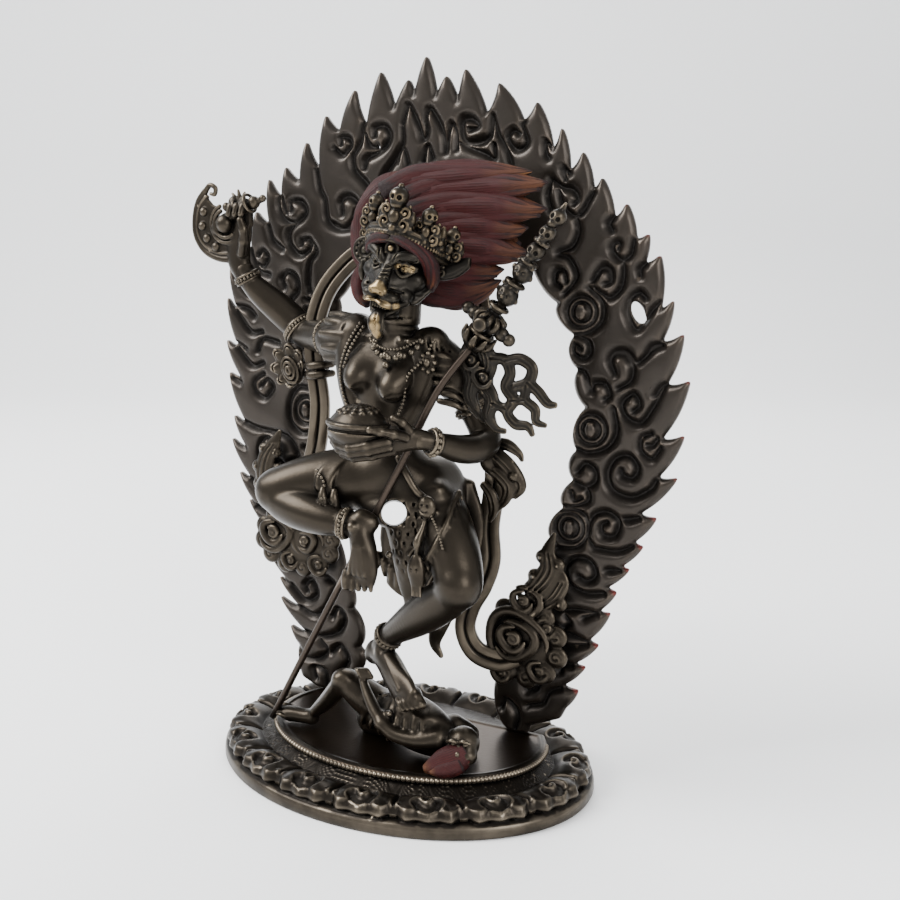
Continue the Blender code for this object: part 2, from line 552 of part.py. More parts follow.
def flames(tips, valleys, hand):
    """One flame per tip, its root inward and down the ring so that it leans upward."""
    for i, (tip, low) in enumerate(zip(tips, valleys)):
        high = valleys[i - 1] if i else (tip[0] - 3 * hand, tip[1] - 8)
        root = np.array(((high[0] + low[0]) / 2, (high[1] + low[1]) / 2))
        wide = math.dist(high, low) * 0.52
        core, _ = nearest_web(*root)
        inward = core[:2] - root
        inward /= max(np.linalg.norm(inward), 1)
        start = root + inward * 9 + np.array((0, -6.5))
        tip = np.array(tip)
        bend = (root + tip) / 2 + np.array((hand * 1.2, -1.2))
        ring_form.leaf(((*start, wide * 0.5), (*(root + inward * 2), wide), (*bend, wide * 0.62), (*tip, 0.25)),
                       BACK, FRONT)


flames(TIPS_RIGHT, VALLEYS_RIGHT, 1)
flames(TIPS_LEFT, VALLEYS_LEFT, -1)
# Scrolls and ringed bosses along the inner border, by distance along the ring
for rows, hand in ((INNER_RIGHT, 1), (INNER_LEFT, -1)):
    edge = curve(rows, 2)
    for i in range(1, len(edge) - 2, 2):
        x, z = edge[i]
        core, _ = nearest_web(x, z)
        out = core[:2] - (x, z)
        out /= max(np.linalg.norm(out), 1e-6)
        c = np.array((x, z)) + out * 3.6
        ring_form.ball(c[0], MID, c[1], 3.9, 1.6, 3.9)
        c = np.array((x, z)) + out * 12.5
        if i % 4 == 1 and z > 34:
            ring_form.scroll(c[0], MID - 0.5, c[1], 4.4, 1.1, 90 if hand > 0 else 90, 1.3, 1.3, -hand)


def place_ring(v):
    return Vector((v[0] * AUREOLE_WIDTH_SCALE * UNIT, v[1] * UNIT, (v[2] - 11.8) * UNIT + FLOOR * UNIT))


for v in range(len(ring_form.verts)):
    x, y, z = ring_form.verts[v]
    ring_form.verts[v] = (x, min(y, BACK), max(z, 11.8))
ring_mesh = shell("flame_aureole", ring_form, place_ring, 0.0008, AUREOLE_TRIANGLES)
add_object("flame_aureole", ring_mesh, material("flame_aureole", (0.12, 0.085, 0.06), 0.42))

# Staff: its bars and beads melted together
staff = Form()
for rows in STAFF_BARS:
    staff.limb(rows, sides=10, steps=3)
for x, y, z, r, h in STAFF_BEADS:
    staff.ball(x, y, z, r, r, h, roll=34)
staff_mesh = shell("khatvanga_staff", staff, place_staff, 0.0006, STAFF_TRIANGLES)
add_object("khatvanga_staff", staff_mesh, material("khatvanga_staff", (0.20, 0.10, 0.06), 0.36))
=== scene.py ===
import math

import bpy
import numpy as np
from mathutils import Matrix


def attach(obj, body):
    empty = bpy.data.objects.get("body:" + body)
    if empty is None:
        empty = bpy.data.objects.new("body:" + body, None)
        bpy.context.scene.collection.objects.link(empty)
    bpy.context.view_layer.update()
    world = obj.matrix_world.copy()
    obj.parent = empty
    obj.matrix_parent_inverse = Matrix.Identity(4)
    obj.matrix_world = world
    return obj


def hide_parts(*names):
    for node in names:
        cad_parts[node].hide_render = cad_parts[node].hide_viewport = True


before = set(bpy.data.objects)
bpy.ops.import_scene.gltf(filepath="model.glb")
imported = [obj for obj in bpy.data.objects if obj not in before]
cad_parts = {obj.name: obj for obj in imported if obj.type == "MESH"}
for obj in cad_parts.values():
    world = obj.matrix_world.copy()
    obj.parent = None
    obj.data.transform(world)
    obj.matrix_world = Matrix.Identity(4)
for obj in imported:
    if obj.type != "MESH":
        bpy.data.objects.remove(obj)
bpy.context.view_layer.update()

# Camera: a little above the crown, to the viewer's right of the figure, looking slightly down
LENS, SENSOR = 43.08, 36
CAMERA_PLACE = (0.1737, -0.2917, 0.1686)
CAMERA_PITCH, CAMERA_YAW = 79.63, 28.11
camera = bpy.data.objects.new("camera", bpy.data.cameras.new("camera"))
camera.data.lens = LENS
camera.data.sensor_width = SENSOR
camera.location = CAMERA_PLACE
camera.rotation_euler = (math.radians(CAMERA_PITCH), 0, math.radians(CAMERA_YAW))
bpy.context.collection.objects.link(camera)
bpy.context.scene.camera = camera

# Stage: a pale sweep of paper, a wide soft light from the upper left, a weaker one from the right
# and a third from behind; sizes in metres
PAPER_ROWS, PAPER_NEAR, PAPER_FLAT, PAPER_BEND, PAPER_HALF = 24, -1.2, 2.1, 0.5, 2.6
PAPER_TURN = 28


def sweep():
    rows = []
    for i in range(PAPER_ROWS + 1):
        t = i / PAPER_ROWS
        if t < 0.4:
            rows.append((PAPER_NEAR + PAPER_FLAT * t / 0.4, 0.0))
        else:
            a = min((t - 0.4) / 0.3, 1) * math.pi / 2
            back = PAPER_NEAR + PAPER_FLAT
            rows.append((back + PAPER_BEND * math.sin(a),
                         PAPER_BEND - PAPER_BEND * math.cos(a) + max(t - 0.7, 0) * 6))
    verts = [(x, y, z) for y, z in rows for x in (-PAPER_HALF, PAPER_HALF)]
    faces = [(2 * i, 2 * i + 1, 2 * i + 3, 2 * i + 2) for i in range(PAPER_ROWS)]
    mesh = bpy.data.meshes.new("paper")
    mesh.from_pydata(verts, [], faces)
    mesh.shade_smooth()
    obj = bpy.data.objects.new("paper", mesh)
    bpy.context.collection.objects.link(obj)
    mat = bpy.data.materials.new("paper")
    mat.use_nodes = True
    s = mat.node_tree.nodes["Principled BSDF"]
    s.inputs["Base Color"].default_value = (0.96, 0.963, 0.965, 1)
    s.inputs["Roughness"].default_value = 0.9
    s.inputs["Specular IOR Level"].default_value = 0.2
    mesh.materials.append(mat)
    obj.rotation_euler = (0, 0, math.radians(PAPER_TURN))


sweep()
world = bpy.data.worlds.new("room")
bpy.context.scene.world = world
world.use_nodes = True
world.node_tree.nodes["Background"].inputs[0].default_value = (0.97, 0.985, 1.0, 1)
world.node_tree.nodes["Background"].inputs[1].default_value = 1.12
for name, place, turn, size, power in (
        ("key", (-0.75, -0.55, 0.95), (48, 0, -52), 0.75, 34.0),
        ("fill", (0.95, -0.5, 0.5), (68, 0, 62), 0.6, 9.0),
        ("rim", (-0.3, 0.75, 0.8), (-48, 0, 20), 0.7, 7.0)):
    light = bpy.data.lights.new(name, 'AREA')
    light.energy = power
    light.size = size
    lamp = bpy.data.objects.new(name, light)
    lamp.location = place
    lamp.rotation_euler = [math.radians(a) for a in turn]
    bpy.context.collection.objects.link(lamp)

# Lotus base: one solid cast oval of dark bronze with a plain band, a row of broad petals with scalloped
# tips and comma hollows, a scale-textured neck, and a raised brown plate edged with small beads;
# it stands by its own weight and carries everything else; sizes here and below in millimetres
BASE_LONG, BASE_DEEP = 131.8, 93.4
PLATE_LONG, PLATE_DEEP, PLATE_SHIFT, PLATE_BACK, PLATE_LEVEL = 98.0, 66.8, 3.0, 18.6, 11.15
PETALS, PETAL_DEPTH, PETAL_ROWS = 16, 12.6, 30
NECK_ROWS = 24
BEAD_RADIUS, BEAD_HEIGHT = 0.98, 10.2
BASE_TRIANGLES = 95000
AROUND = 896


def curve(rows, steps):
    """Smooth rows through the given rows, all columns alike."""
    p = np.array(rows, float)
    p = np.vstack([2 * p[0] - p[1], p, 2 * p[-1] - p[-2]])
    t = (np.arange(steps) / steps)[:, None]
    out = []
    for i in range(1, len(p) - 2):
        a, b, c, d = p[i - 1:i + 3]
        out.append(0.5 * (2 * b + (c - a) * t + (2 * a - 5 * b + 4 * c - d) * t ** 2
                          + (3 * b - a - 3 * c + d) * t ** 3))
    return np.vstack(out + [p[-2:-1]])


def mesh_object(name, verts, faces, mat):
    """Object from points in millimetres and quads or triangles, smooth shaded."""
    verts, faces = np.asarray(verts, float), np.asarray(faces, np.int32)
    mesh = bpy.data.meshes.new(name)
    mesh.vertices.add(len(verts))
    mesh.vertices.foreach_set("co", (verts * 0.001).ravel())
    n = faces.shape[1]
    mesh.loops.add(faces.size)
    mesh.loops.foreach_set("vertex_index", faces.ravel())
    mesh.polygons.add(len(faces))
    mesh.polygons.foreach_set("loop_start", np.arange(0, faces.size, n, dtype=np.int32))
    mesh.update(calc_edges=True)
    mesh.validate()
    mesh.shade_smooth()
    mesh.materials.append(mat)
    obj = bpy.data.objects.new(name, mesh)
    bpy.context.collection.objects.link(obj)
    return obj


def thin(obj, triangles):
    """Simplify an object's mesh to about that many triangles."""
    have = sum(len(p.vertices) - 2 for p in obj.data.polygons)
    if have <= triangles:
        return obj
    m = obj.modifiers.new("thin", 'DECIMATE')
    m.ratio = triangles / have
    bpy.context.view_layer.update()
    done = bpy.data.meshes.new_from_object(obj.evaluated_get(bpy.context.evaluated_depsgraph_get()))
    obj.modifiers.clear()
    obj.data = done
    done.shade_smooth()
    return obj


def spheres(places):
    """Points and triangles of small balls at rows of x, y, z, radius."""
    ring, seg = 5, 8
    unit = [(0, 0, 1)]
    for i in range(1, ring):
        a = math.pi * i / ring
        unit += [(math.sin(a) * math.cos(2 * math.pi * j / seg),
                  math.sin(a) * math.sin(2 * math.pi * j / seg),
                  math.cos(a)) for j in range(seg)]
    unit.append((0, 0, -1))
    tri = []
    for j in range(seg):
        k = (j + 1) % seg
        tri.append((0, 1 + j, 1 + k))
        for i in range(ring - 2):
            a, b = 1 + i * seg, 1 + (i + 1) * seg
            tri += [(a + j, b + j, b + k), (a + j, b + k, a + k)]
        a = 1 + (ring - 2) * seg
        tri.append((a + j, len(unit) - 1, a + k))
    unit, tri = np.array(unit), np.array(tri)
    p = np.array(places, float)
    verts = (p[:, None, :3] + unit[None] * p[:, None, 3:4]).reshape(-1, 3)
    faces = (tri[None] + (np.arange(len(p)) * len(unit))[:, None, None]).reshape(-1, 3)
    return verts, faces


def node(tree, kind, inputs=(), **settings):
    n = tree.nodes.new(kind)
    for key, value in settings.items():
        setattr(n, key, value)
    for key, value in dict(inputs).items():
        if isinstance(value, bpy.types.NodeSocket):
            tree.links.new(value, n.inputs[key])
        else:
            n.inputs[key].default_value = value
    return n


def ramp(tree, value, *stops):
    n = node(tree, 'ShaderNodeValToRGB', {0: value})
    e = n.color_ramp.elements
    while len(e) < len(stops):
        e.new(0.5)
    for item, (at, colour) in zip(e, stops):
        item.position = at
        item.color = (*colour, 1)
    return n.outputs["Color"]


def patina_group():
    """Antique patina: near black in the hollows, body colour on the flats, rubbed metal on the edges."""
    g = bpy.data.node_groups.new("patina", 'ShaderNodeTree')
    for name, kind in (("Hollow", 'NodeSocketColor'), ("Body", 'NodeSocketColor'),
                       ("Rubbed", 'NodeSocketColor'),
                       ("Wear", 'NodeSocketFloat'), ("Reach", 'NodeSocketFloat')):
        g.interface.new_socket(name, in_out='INPUT', socket_type=kind)
    for name, kind in (("Colour", 'NodeSocketColor'), ("Roughness", 'NodeSocketFloat'),
                       ("Normal", 'NodeSocketVector')):
        g.interface.new_socket(name, in_out='OUTPUT', socket_type=kind)
    a = g.nodes.new('NodeGroupInput')
    z = g.nodes.new('NodeGroupOutput')
    where = node(g, 'ShaderNodeTexCoord').outputs["Object"]
    blot = node(g, 'ShaderNodeTexNoise', {"Vector": where, "Scale": 55.0, "Detail": 5.0, "Roughness": 0.62})
    grain = node(g, 'ShaderNodeTexNoise', {"Vector": where, "Scale": 900.0, "Detail": 3.0})
    edge = node(g, 'ShaderNodeNewGeometry').outputs["Pointiness"]
    high = node(g, 'ShaderNodeMapRange', {"Value": edge, "From Min": 0.512, "From Max": 0.60}).outputs[0]
    worn = node(g, 'ShaderNodeMath', {0: high, 1: a.outputs["Wear"]}, operation='MULTIPLY',
                use_clamp=True).outputs[0]
    spots = node(g, 'ShaderNodeMapRange', {"Value": blot.outputs[0], "From Min": 0.38, "From Max": 0.62,
                                           "To Min": 0.35, "To Max": 1.0}).outputs[0]
    worn = node(g, 'ShaderNodeMath', {0: worn, 1: spots}, operation='MULTIPLY').outputs[0]
    shade = node(g, 'ShaderNodeAmbientOcclusion', {"Distance": a.outputs["Reach"]}, samples=6).outputs["AO"]
    low = node(g, 'ShaderNodeMapRange', {"Value": edge, "From Min": 0.40, "From Max": 0.50}).outputs[0]
    open_ = node(g, 'ShaderNodeMapRange', {"Value": shade, "From Min": 0.35, "From Max": 0.95}).outputs[0]
    flat = node(g, 'ShaderNodeMath', {0: low, 1: open_}, operation='MULTIPLY').outputs[0]
    body = node(g, 'ShaderNodeMix', {"Factor": spots, 6: a.outputs["Hollow"], 7: a.outputs["Body"]},
                data_type='RGBA')
    body = node(g, 'ShaderNodeMix', {"Factor": 0.7, 6: body.outputs[2], 7: a.outputs["Body"]},
                data_type='RGBA')
    base = node(g, 'ShaderNodeMix', {"Factor": flat, 6: a.outputs["Hollow"], 7: body.outputs[2]},
                data_type='RGBA')
    top = node(g, 'ShaderNodeMix', {"Factor": worn, 6: base.outputs[2], 7: a.outputs["Rubbed"]},
               data_type='RGBA')
    g.links.new(top.outputs[2], z.inputs["Colour"])
    rough = node(g, 'ShaderNodeMapRange', {"Value": flat, "To Min": 0.60, "To Max": 0.33}).outputs[0]
    rough = node(g, 'ShaderNodeMix', {"Factor": worn, 2: rough, 3: 0.30}).outputs[0]
    g.links.new(rough, z.inputs["Roughness"])
    bump = node(g, 'ShaderNodeBump', {"Height": grain.outputs[0], "Strength": 0.12, "Distance": 0.0002})
    bump = node(g, 'ShaderNodeBump', {"Height": blot.outputs[0], "Strength": 0.10, "Distance": 0.001,
                                      "Normal": bump.outputs[0]})
    g.links.new(bump.outputs[0], z.inputs["Normal"])
    return g


PATINA = patina_group()


def bronze(name, hollow, body, rubbed, wear, reach=0.004, metal=0.9):
    """Cast metal with the patina; hollow, body and rubbed are its three colours."""
    mat = bpy.data.materials.new(name)
    mat.use_nodes = True
    t = mat.node_tree
    s = t.nodes["Principled BSDF"]
    p = node(t, 'ShaderNodeGroup', node_tree=PATINA)
    for key, value in (("Hollow", (*hollow, 1)), ("Body", (*body, 1)), ("Rubbed", (*rubbed, 1)),
                       ("Wear", wear),
                       ("Reach", reach)):
        p.inputs[key].default_value = value
    t.links.new(p.outputs["Colour"], s.inputs["Base Color"])
    t.links.new(p.outputs["Roughness"], s.inputs["Roughness"])
    t.links.new(p.outputs["Normal"], s.inputs["Normal"])
    s.inputs["Metallic"].default_value = metal
    s.inputs["Specular IOR Level"].default_value = 0.5
    return mat


def tinted(mat, colour, rough):
    """Second colour of a metal wherever the piece's own "tint" mask is set."""
    t = mat.node_tree
    s = t.nodes["Principled BSDF"]
    mask = node(t, 'ShaderNodeAttribute', attribute_name="tint").outputs["Fac"]
    for key, value in (("Base Color", (*colour, 1)), ("Roughness", rough)):
        old = s.inputs[key].links[0].from_socket
        kind, a, b, out = ('RGBA', 6, 7, 2) if key == "Base Color" else ('FLOAT', 2, 3, 0)
        new = node(t, 'ShaderNodeMix', {"Factor": mask, a: old, b: value}, data_type=kind).outputs[out]
        t.links.new(new, s.inputs[key])
    return mat


def tint(obj, spots):
    """Set the mask round each spot (x, y, z, reach in millimetres)."""
    v = np.array([p.co for p in obj.data.vertices]) * 1000
    mask = np.zeros(len(v))
    for x, y, z, reach in spots:
        mask = np.maximum(mask, np.clip(2.4 - 2 * np.linalg.norm(v - (x, y, z), axis=1) / reach, 0, 1))
    obj.data.attributes.new("tint", 'FLOAT', 'POINT').data.foreach_set("value", mask)


def finish_piece(obj, slot, *nodes):
    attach(obj, "root")
    if nodes:
        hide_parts(*nodes)
    return obj


BASE_METAL = tinted(bronze("base_bronze", (0.003, 0.0024, 0.002), (0.0190, 0.0152, 0.0115),
                           (0.26, 0.215, 0.16), 0.85), (0.024, 0.0155, 0.0095), 0.30)


def lotus_base():
    count = AROUND
    a = np.arange(count) * 2 * np.pi / count
    unit = np.stack([np.cos(a), np.sin(a)], 1)
    # Where each direction falls on a petal, -1 to 1 from side to side
    pitch = np.cumsum(np.hypot(BASE_LONG / 2 * np.sin(a), BASE_DEEP / 2 * np.cos(a)))
    u = (pitch / pitch[-1] * PETALS) % 1 * 2 - 1
    wide = np.abs(u)
    lobe = 0.5 + 0.5 * np.cos(u * np.pi * 3.2)
    tip = 1.35 - 2.6 * np.clip(wide - 0.62, 0, 1) ** 1.2 * 3.0 + 0.75 * lobe * (wide < 0.92)

    def oval(inset, z):
        r = np.stack([unit[:, 0] * (BASE_LONG / 2 - inset), unit[:, 1] * (BASE_DEEP / 2 - inset)], 1)
        return np.column_stack([r, np.broadcast_to(z, count)])

    rings = [oval(2.2, 0.0), oval(0.9, 0.0), oval(0.35, 0.25), oval(0.0, 1.0), oval(0.0, 2.4),
             oval(0.25, 3.8),
             oval(0.9, 4.4), oval(2.6, 4.6)]
    # Petal lip, tucked under, then over its rounded edge and back over the dome to the neck
    lip = 2.9 - np.clip(tip, 0, 3) * 0.95
    rings.append(oval(lip + 1.1, 4.7))
    for k, h in ((0.35, 5.0), (0.0, 5.7), (0.12, 6.5), (0.5, 7.2)):
        rings.append(oval(lip + k, h - 0.45 * (wide > 0.9)))
    for i in range(1, PETAL_ROWS + 1):
        v = i / PETAL_ROWS
        inset = lip + 0.5 + (PETAL_DEPTH - lip) * v
        dome = 7.5 + 2.5 * np.sin(np.pi * min(v * 0.86 + 0.12, 1)) * (1 - wide ** 3.2 * 0.9)
        cleft = 1.5 * np.exp(-((1 - wide) / 0.07) ** 2) * (1 - v) ** 0.3
        arm = 1.7 * np.exp(-((1 - wide) / 0.16) ** 2) * np.exp(-((v - 0.1) / 0.2) ** 2)
        # Comma hollow in the middle of each petal
        uu, vv = u * 7.4, (v - 0.46) * 8.6
        swirl = np.full(count, 9.0)
        for s in np.linspace(0, 1, 30):
            ang = math.radians(-150 + 330 * s)
            rad = 3.0 * (1 - s * 0.72)
            swirl = np.minimum(swirl, np.hypot(uu - rad * math.cos(ang) - 0.4, vv - rad * math.sin(ang))
                               - 1.15 * (1 - 0.55 * s))
        hollow = 1.45 * np.clip(0.5 - swirl / 0.8, 0, 1)
        notch = 0.9 * np.clip(1 - v / 0.2, 0,
                              1) * (0.5 - 0.5 * np.cos(u * np.pi * 3.2)) ** 6 * (wide < 0.85)
        rings.append(oval(inset, dome - cleft + arm - hollow - notch - 0.9 * v ** 3))
    # Neck up to the plate, with fine scales, then plate edge and its thin rim line
    low = rings[-1]

    def plate(grow, z):
        x = unit[:, 0] * (PLATE_LONG / 2 + grow)
        y = np.minimum(unit[:, 1] * (PLATE_DEEP / 2 + grow) + PLATE_SHIFT, PLATE_BACK + min(grow, 0))
        return np.column_stack([x, y, np.broadcast_to(z, count)])

    top_ring = plate(-2.4, 9.7)
    for i in range(1, NECK_ROWS + 1):
        v = i / NECK_ROWS
        r = low * (1 - v) + top_ring * v
        scale = 0.22 * np.sin(pitch * 2.1) * np.sin(v * 26) + 0.12 * np.sin(pitch * 3.7 + v * 9)
        r[:, 0] += unit[:, 0] * scale
        r[:, 1] += unit[:, 1] * scale
        rings.append(r)
    for grow, z in ((-1.4, 9.6), (-0.5, 9.7), (-0.1, 10.0), (0.0, 10.6), (-0.35, 11.1), (-0.9, 11.3),
                    (-1.3, 11.25),
                    (-1.7, 11.5), (-2.2, 11.5), (-2.6, 11.2), (-3.4, PLATE_LEVEL)):
        rings.append(plate(grow, z))
    for i in range(1, 14):
        rings.append(np.column_stack([rings[-1][:, 0] * (1 - 0.08 * i),
                                      rings[-1][:, 1] * (1 - 0.08 * i) + 0.08,
                                      np.full(count, PLATE_LEVEL)]))
    verts = np.vstack(rings + [[(0, 3, PLATE_LEVEL), (0, 0, 0)]])
    quads = []
    j = np.arange(count)
    k = (j + 1) % count
    for i in range(len(rings) - 1):
        quads.append(np.stack([i * count + j, i * count + k, (i + 1) * count + k, (i + 1) * count + j], 1))
    last = (len(rings) - 1) * count
    mid, under = len(verts) - 2, len(verts) - 1
    quads.append(np.stack([last + j[::2], last + j[1::2], last + (j[1::2] + 1) % count,
                           np.full(count // 2, mid)], 1))
    quads.append(np.stack([j[1::2], j[::2], np.full(count // 2, under), (j[1::2] + 1) % count], 1))
    base = mesh_object("lotus_base_cast", verts, np.vstack(quads), BASE_METAL)
    thin(base, BASE_TRIANGLES)
    v = np.array([p.co for p in base.data.vertices]) * 1000
    level = np.clip((0.12 - np.abs(v[:, 2] - PLATE_LEVEL)) / 0.08, 0, 1)
    base.data.attributes.new("tint", 'FLOAT', 'POINT').data.foreach_set("value", level)
    finish_piece(base, "dark_bronze", "lotus_base")
    # Beads round the front and sides of the plate
    t = np.linspace(-math.pi * 1.065, math.pi * 0.09, 112)
    rows = [((PLATE_LONG / 2 - 0.25) * math.cos(s), PLATE_SHIFT + (PLATE_DEEP / 2 - 0.25) * math.sin(s),
             BEAD_HEIGHT, BEAD_RADIUS) for s in t]
    v, f = spheres([r for r in rows if r[1] < PLATE_BACK - 3])
    finish_piece(mesh_object("plate_beads", v, f, BASE_METAL), "dark_bronze")


lotus_base()

# Body underfoot: bronze, cast in one with the figure who treads on it; it lies on its back across the
# plate with one knee up, one arm lifted and its head over the bead row
UNDERFOOT_STEP, UNDERFOOT_TRIANGLES = 0.36, 40000


class Clay:
    """Shape as a field of distances in millimetres; below zero is metal."""

    def __init__(self, low, high, step):
        self.low, self.step = np.array(low, float), step
        self.n = np.ceil((np.array(high) - self.low) / step).astype(int) + 1
        self.d = np.full(self.n, 9.0, np.float32)

    def window(self, low, high):
        a = np.clip(np.floor((np.array(low) - self.low) / self.step).astype(int), 0, self.n)
        b = np.clip(np.ceil((np.array(high) - self.low) / self.step).astype(int) + 1, 0, self.n)
        return tuple(slice(i, max(i, j)) for i, j in zip(a, b))

    def axes(self, w):
        return [(self.low[k] + self.step * np.arange(s.start, s.stop, dtype=np.float32)).reshape(
            [-1 if i == k else 1 for i in range(3)]) for k, s in enumerate(w)]

    def mix(self, w, d, blend, cut):
        old = self.d[w]
        if cut:
            h = np.maximum(blend - np.abs(old + d), 0)
            self.d[w] = np.maximum(old, -d) + h * h / (4 * blend)
        else:
            h = np.maximum(blend - np.abs(old - d), 0)
            self.d[w] = np.minimum(old, d) - h * h / (4 * blend)

    def bar(self, rows, blend=0.5, cut=False, steps=6):
        """Swept bar through rows of x, y, z, half width and optional half depth."""
        rows = [tuple(r) + (r[3],) if len(r) == 4 else tuple(r) for r in rows]
        p = curve(rows, steps)
        p[:, 3:] = np.maximum(p[:, 3:], 0.08)
        reach = p[:, 3:].max() + blend + 2 * self.step
        w = self.window(p[:, :3].min(0) - reach, p[:, :3].max(0) + reach)
        if 0 in self.d[w].shape:
            return
        tmp = np.full(self.d[w].shape, 9.0, np.float32)
        for a, b in zip(p[:-1], p[1:]):
            r = max(a[3:].max(), b[3:].max()) + blend + 2 * self.step
            lo, hi = np.minimum(a[:3], b[:3]) - r, np.maximum(a[:3], b[:3]) + r
            s = self.window(lo, hi)
            if 0 in self.d[s].shape:
                continue
            x, y, z = self.axes(s)
            t = b[:3] - a[:3]
            length = math.sqrt(t @ t) + 1e-9
            t /= length
            side = np.cross(t, (0, -1, 0))
            if np.linalg.norm(side) < 0.1:
                side = np.cross(t, (1, 0, 0.01))
            side /= np.linalg.norm(side)
            deep = np.cross(side, t)
            x, y, z = x - a[0], y - a[1], z - a[2]
            along = x * t[0] + y * t[1] + z * t[2]
            k = np.clip(along / length, 0, 1)
            over = along - k * length
            rw, rd = a[3] + (b[3] - a[3]) * k, a[4] + (b[4] - a[4]) * k
            small = np.minimum(rw, rd)
            u = (x * side[0] + y * side[1] + z * side[2]) / rw
            v = (x * deep[0] + y * deep[1] + z * deep[2]) / rd
            d = (np.sqrt(u * u + v * v + (over / small) ** 2) - 1) * small
            inner = tuple(slice(i.start - j.start, i.stop - j.start) for i, j in zip(s, w))
            tmp[inner] = np.minimum(tmp[inner], d)
        self.mix(w, tmp, blend, cut)

    def blob(self, x, y, z, rx, ry=None, rz=None, roll=0, pitch=0, yaw=0, blend=0.5, cut=False):
        """Ellipsoid, turned about the front axis, then the side axis, then the upright axis, in degrees."""
        ry, rz = ry or rx, rz or rx
        r = max(rx, ry, rz) + blend + 2 * self.step
        w = self.window((x - r, y - r, z - r), (x + r, y + r, z + r))
        if 0 in self.d[w].shape:
            return
        turn = np.array(Matrix.Rotation(math.radians(yaw), 3, 'Z')
                        @ Matrix.Rotation(math.radians(roll), 3, 'Y')
                        @ Matrix.Rotation(math.radians(pitch), 3, 'X'))
        p, q, s = self.axes(w)
        p, q, s = p - x, q - y, s - z
        u = [p * turn[0, k] + q * turn[1, k] + s * turn[2, k] for k in range(3)]
        g = np.sqrt((u[0] / rx) ** 2 + (u[1] / ry) ** 2 + (u[2] / rz) ** 2)
        self.mix(w, (g - 1) * min(rx, ry, rz), blend, cut)

    def skin(self):
        """Points and quads of the zero surface, one point in each cell that it crosses."""
        d = self.d
        d[0], d[-1] = np.maximum(d[0], 0.1), np.maximum(d[-1], 0.1)
        d[:, 0], d[:, -1] = np.maximum(d[:, 0], 0.1), np.maximum(d[:, -1], 0.1)
        d[:, :, 0], d[:, :, -1] = np.maximum(d[:, :, 0], 0.1), np.maximum(d[:, :, -1], 0.1)
        full = d < 0
        c = [(i, j, k) for i in (0, 1) for j in (0, 1) for k in (0, 1)]
        n = self.n
        total = sum(full[i:n[0] - 1 + i, j:n[1] - 1 + j, k:n[2] - 1 + k].astype(np.int8) for i, j, k in c)
        mixed = (total > 0) & (total < 8)
        cell = np.argwhere(mixed)
        look = np.full(mixed.shape, -1, np.int32)
        look[mixed] = np.arange(len(cell))
        got, hits = np.zeros((len(cell), 3)), np.zeros(len(cell))
        for a in c:
            for axis in range(3):
                if a[axis]:
                    continue
                b = list(a)
                b[axis] = 1
                da = d[tuple((cell + a).T)]
                db = d[tuple((cell + b).T)]
                cross = (da < 0) != (db < 0)
                t = np.where(cross, da / np.where(cross, da - db, 1), 0)
                spot = np.array(a, float) + t[:, None] * (np.array(b) - a)
                got += spot * cross[:, None]
                hits += cross
        verts = self.low + self.step * (cell + got / hits[:, None])
        quads = []
        for axis in range(3):
            u, v = (axis + 1) % 3, (axis + 2) % 3
            near = [slice(None)] * 3
            far = [slice(None)] * 3
            near[axis], far[axis] = slice(None, -1), slice(1, None)
            for k in (u, v):
                near[k] = far[k] = slice(1, -1)
            one, two = full[tuple(near)], full[tuple(far)]
            for want, order in ((one & ~two, (0, 1, 2, 3)), (two & ~one, (3, 2, 1, 0))):
                e = np.argwhere(want)
                e[:, u] += 1
                e[:, v] += 1
                du, dv = np.zeros(3, int), np.zeros(3, int)
                du[u], dv[v] = 1, 1
                ring = [look[tuple((e - m).T)] for m in (0, du, du + dv, dv)]
                quads.append(np.stack([ring[k] for k in order], 1))
        return verts, np.vstack(quads)


def cast(name, clay, mat, triangles):
    verts, quads = clay.skin()
    return thin(mesh_object(name, verts, quads, mat), triangles)


FLESH_METAL = bronze("figure_bronze", (0.003, 0.0025, 0.002), (0.0290, 0.0232, 0.0168), (0.27, 0.22, 0.16),
                     0.8)
BEAD_METAL = bronze("bead_bronze", (0.003, 0.0024, 0.002), (0.0155, 0.0135, 0.011), (0.23, 0.19, 0.14), 0.5)


def toes(clay, heel, ball, spread, r, length, drop):
    """Row of toes from the ball of a foot; heel to ball is the way they point."""
    count = 5
    heel, ball, spread = np.array(heel, float), np.array(ball, float), np.array(spread, float)
    way = (ball - heel) / np.linalg.norm(ball - heel)
    for k in range(count):
        s = k / (count - 1) * 2 - 1
        size = r * (1.35 if k == 0 else 1.0 - 0.09 * k)
        a = ball + spread * s - way * 1.5
        b = a + way * length * (1.05 - 0.07 * abs(k - 1)) + np.array(drop)
        m = (a + b) / 2 + np.array((0, -0.5, 0.5))
        clay.bar(((*a, size * 1.1), (*m, size), (*b, size * 0.95)), 0.35)
        clay.blob(*(b + way * size * 0.3 + np.array((0, -0.45, 0.35)) * size), size * 0.55, size * 0.4,
                  size * 0.55,
                  blend=0.2)


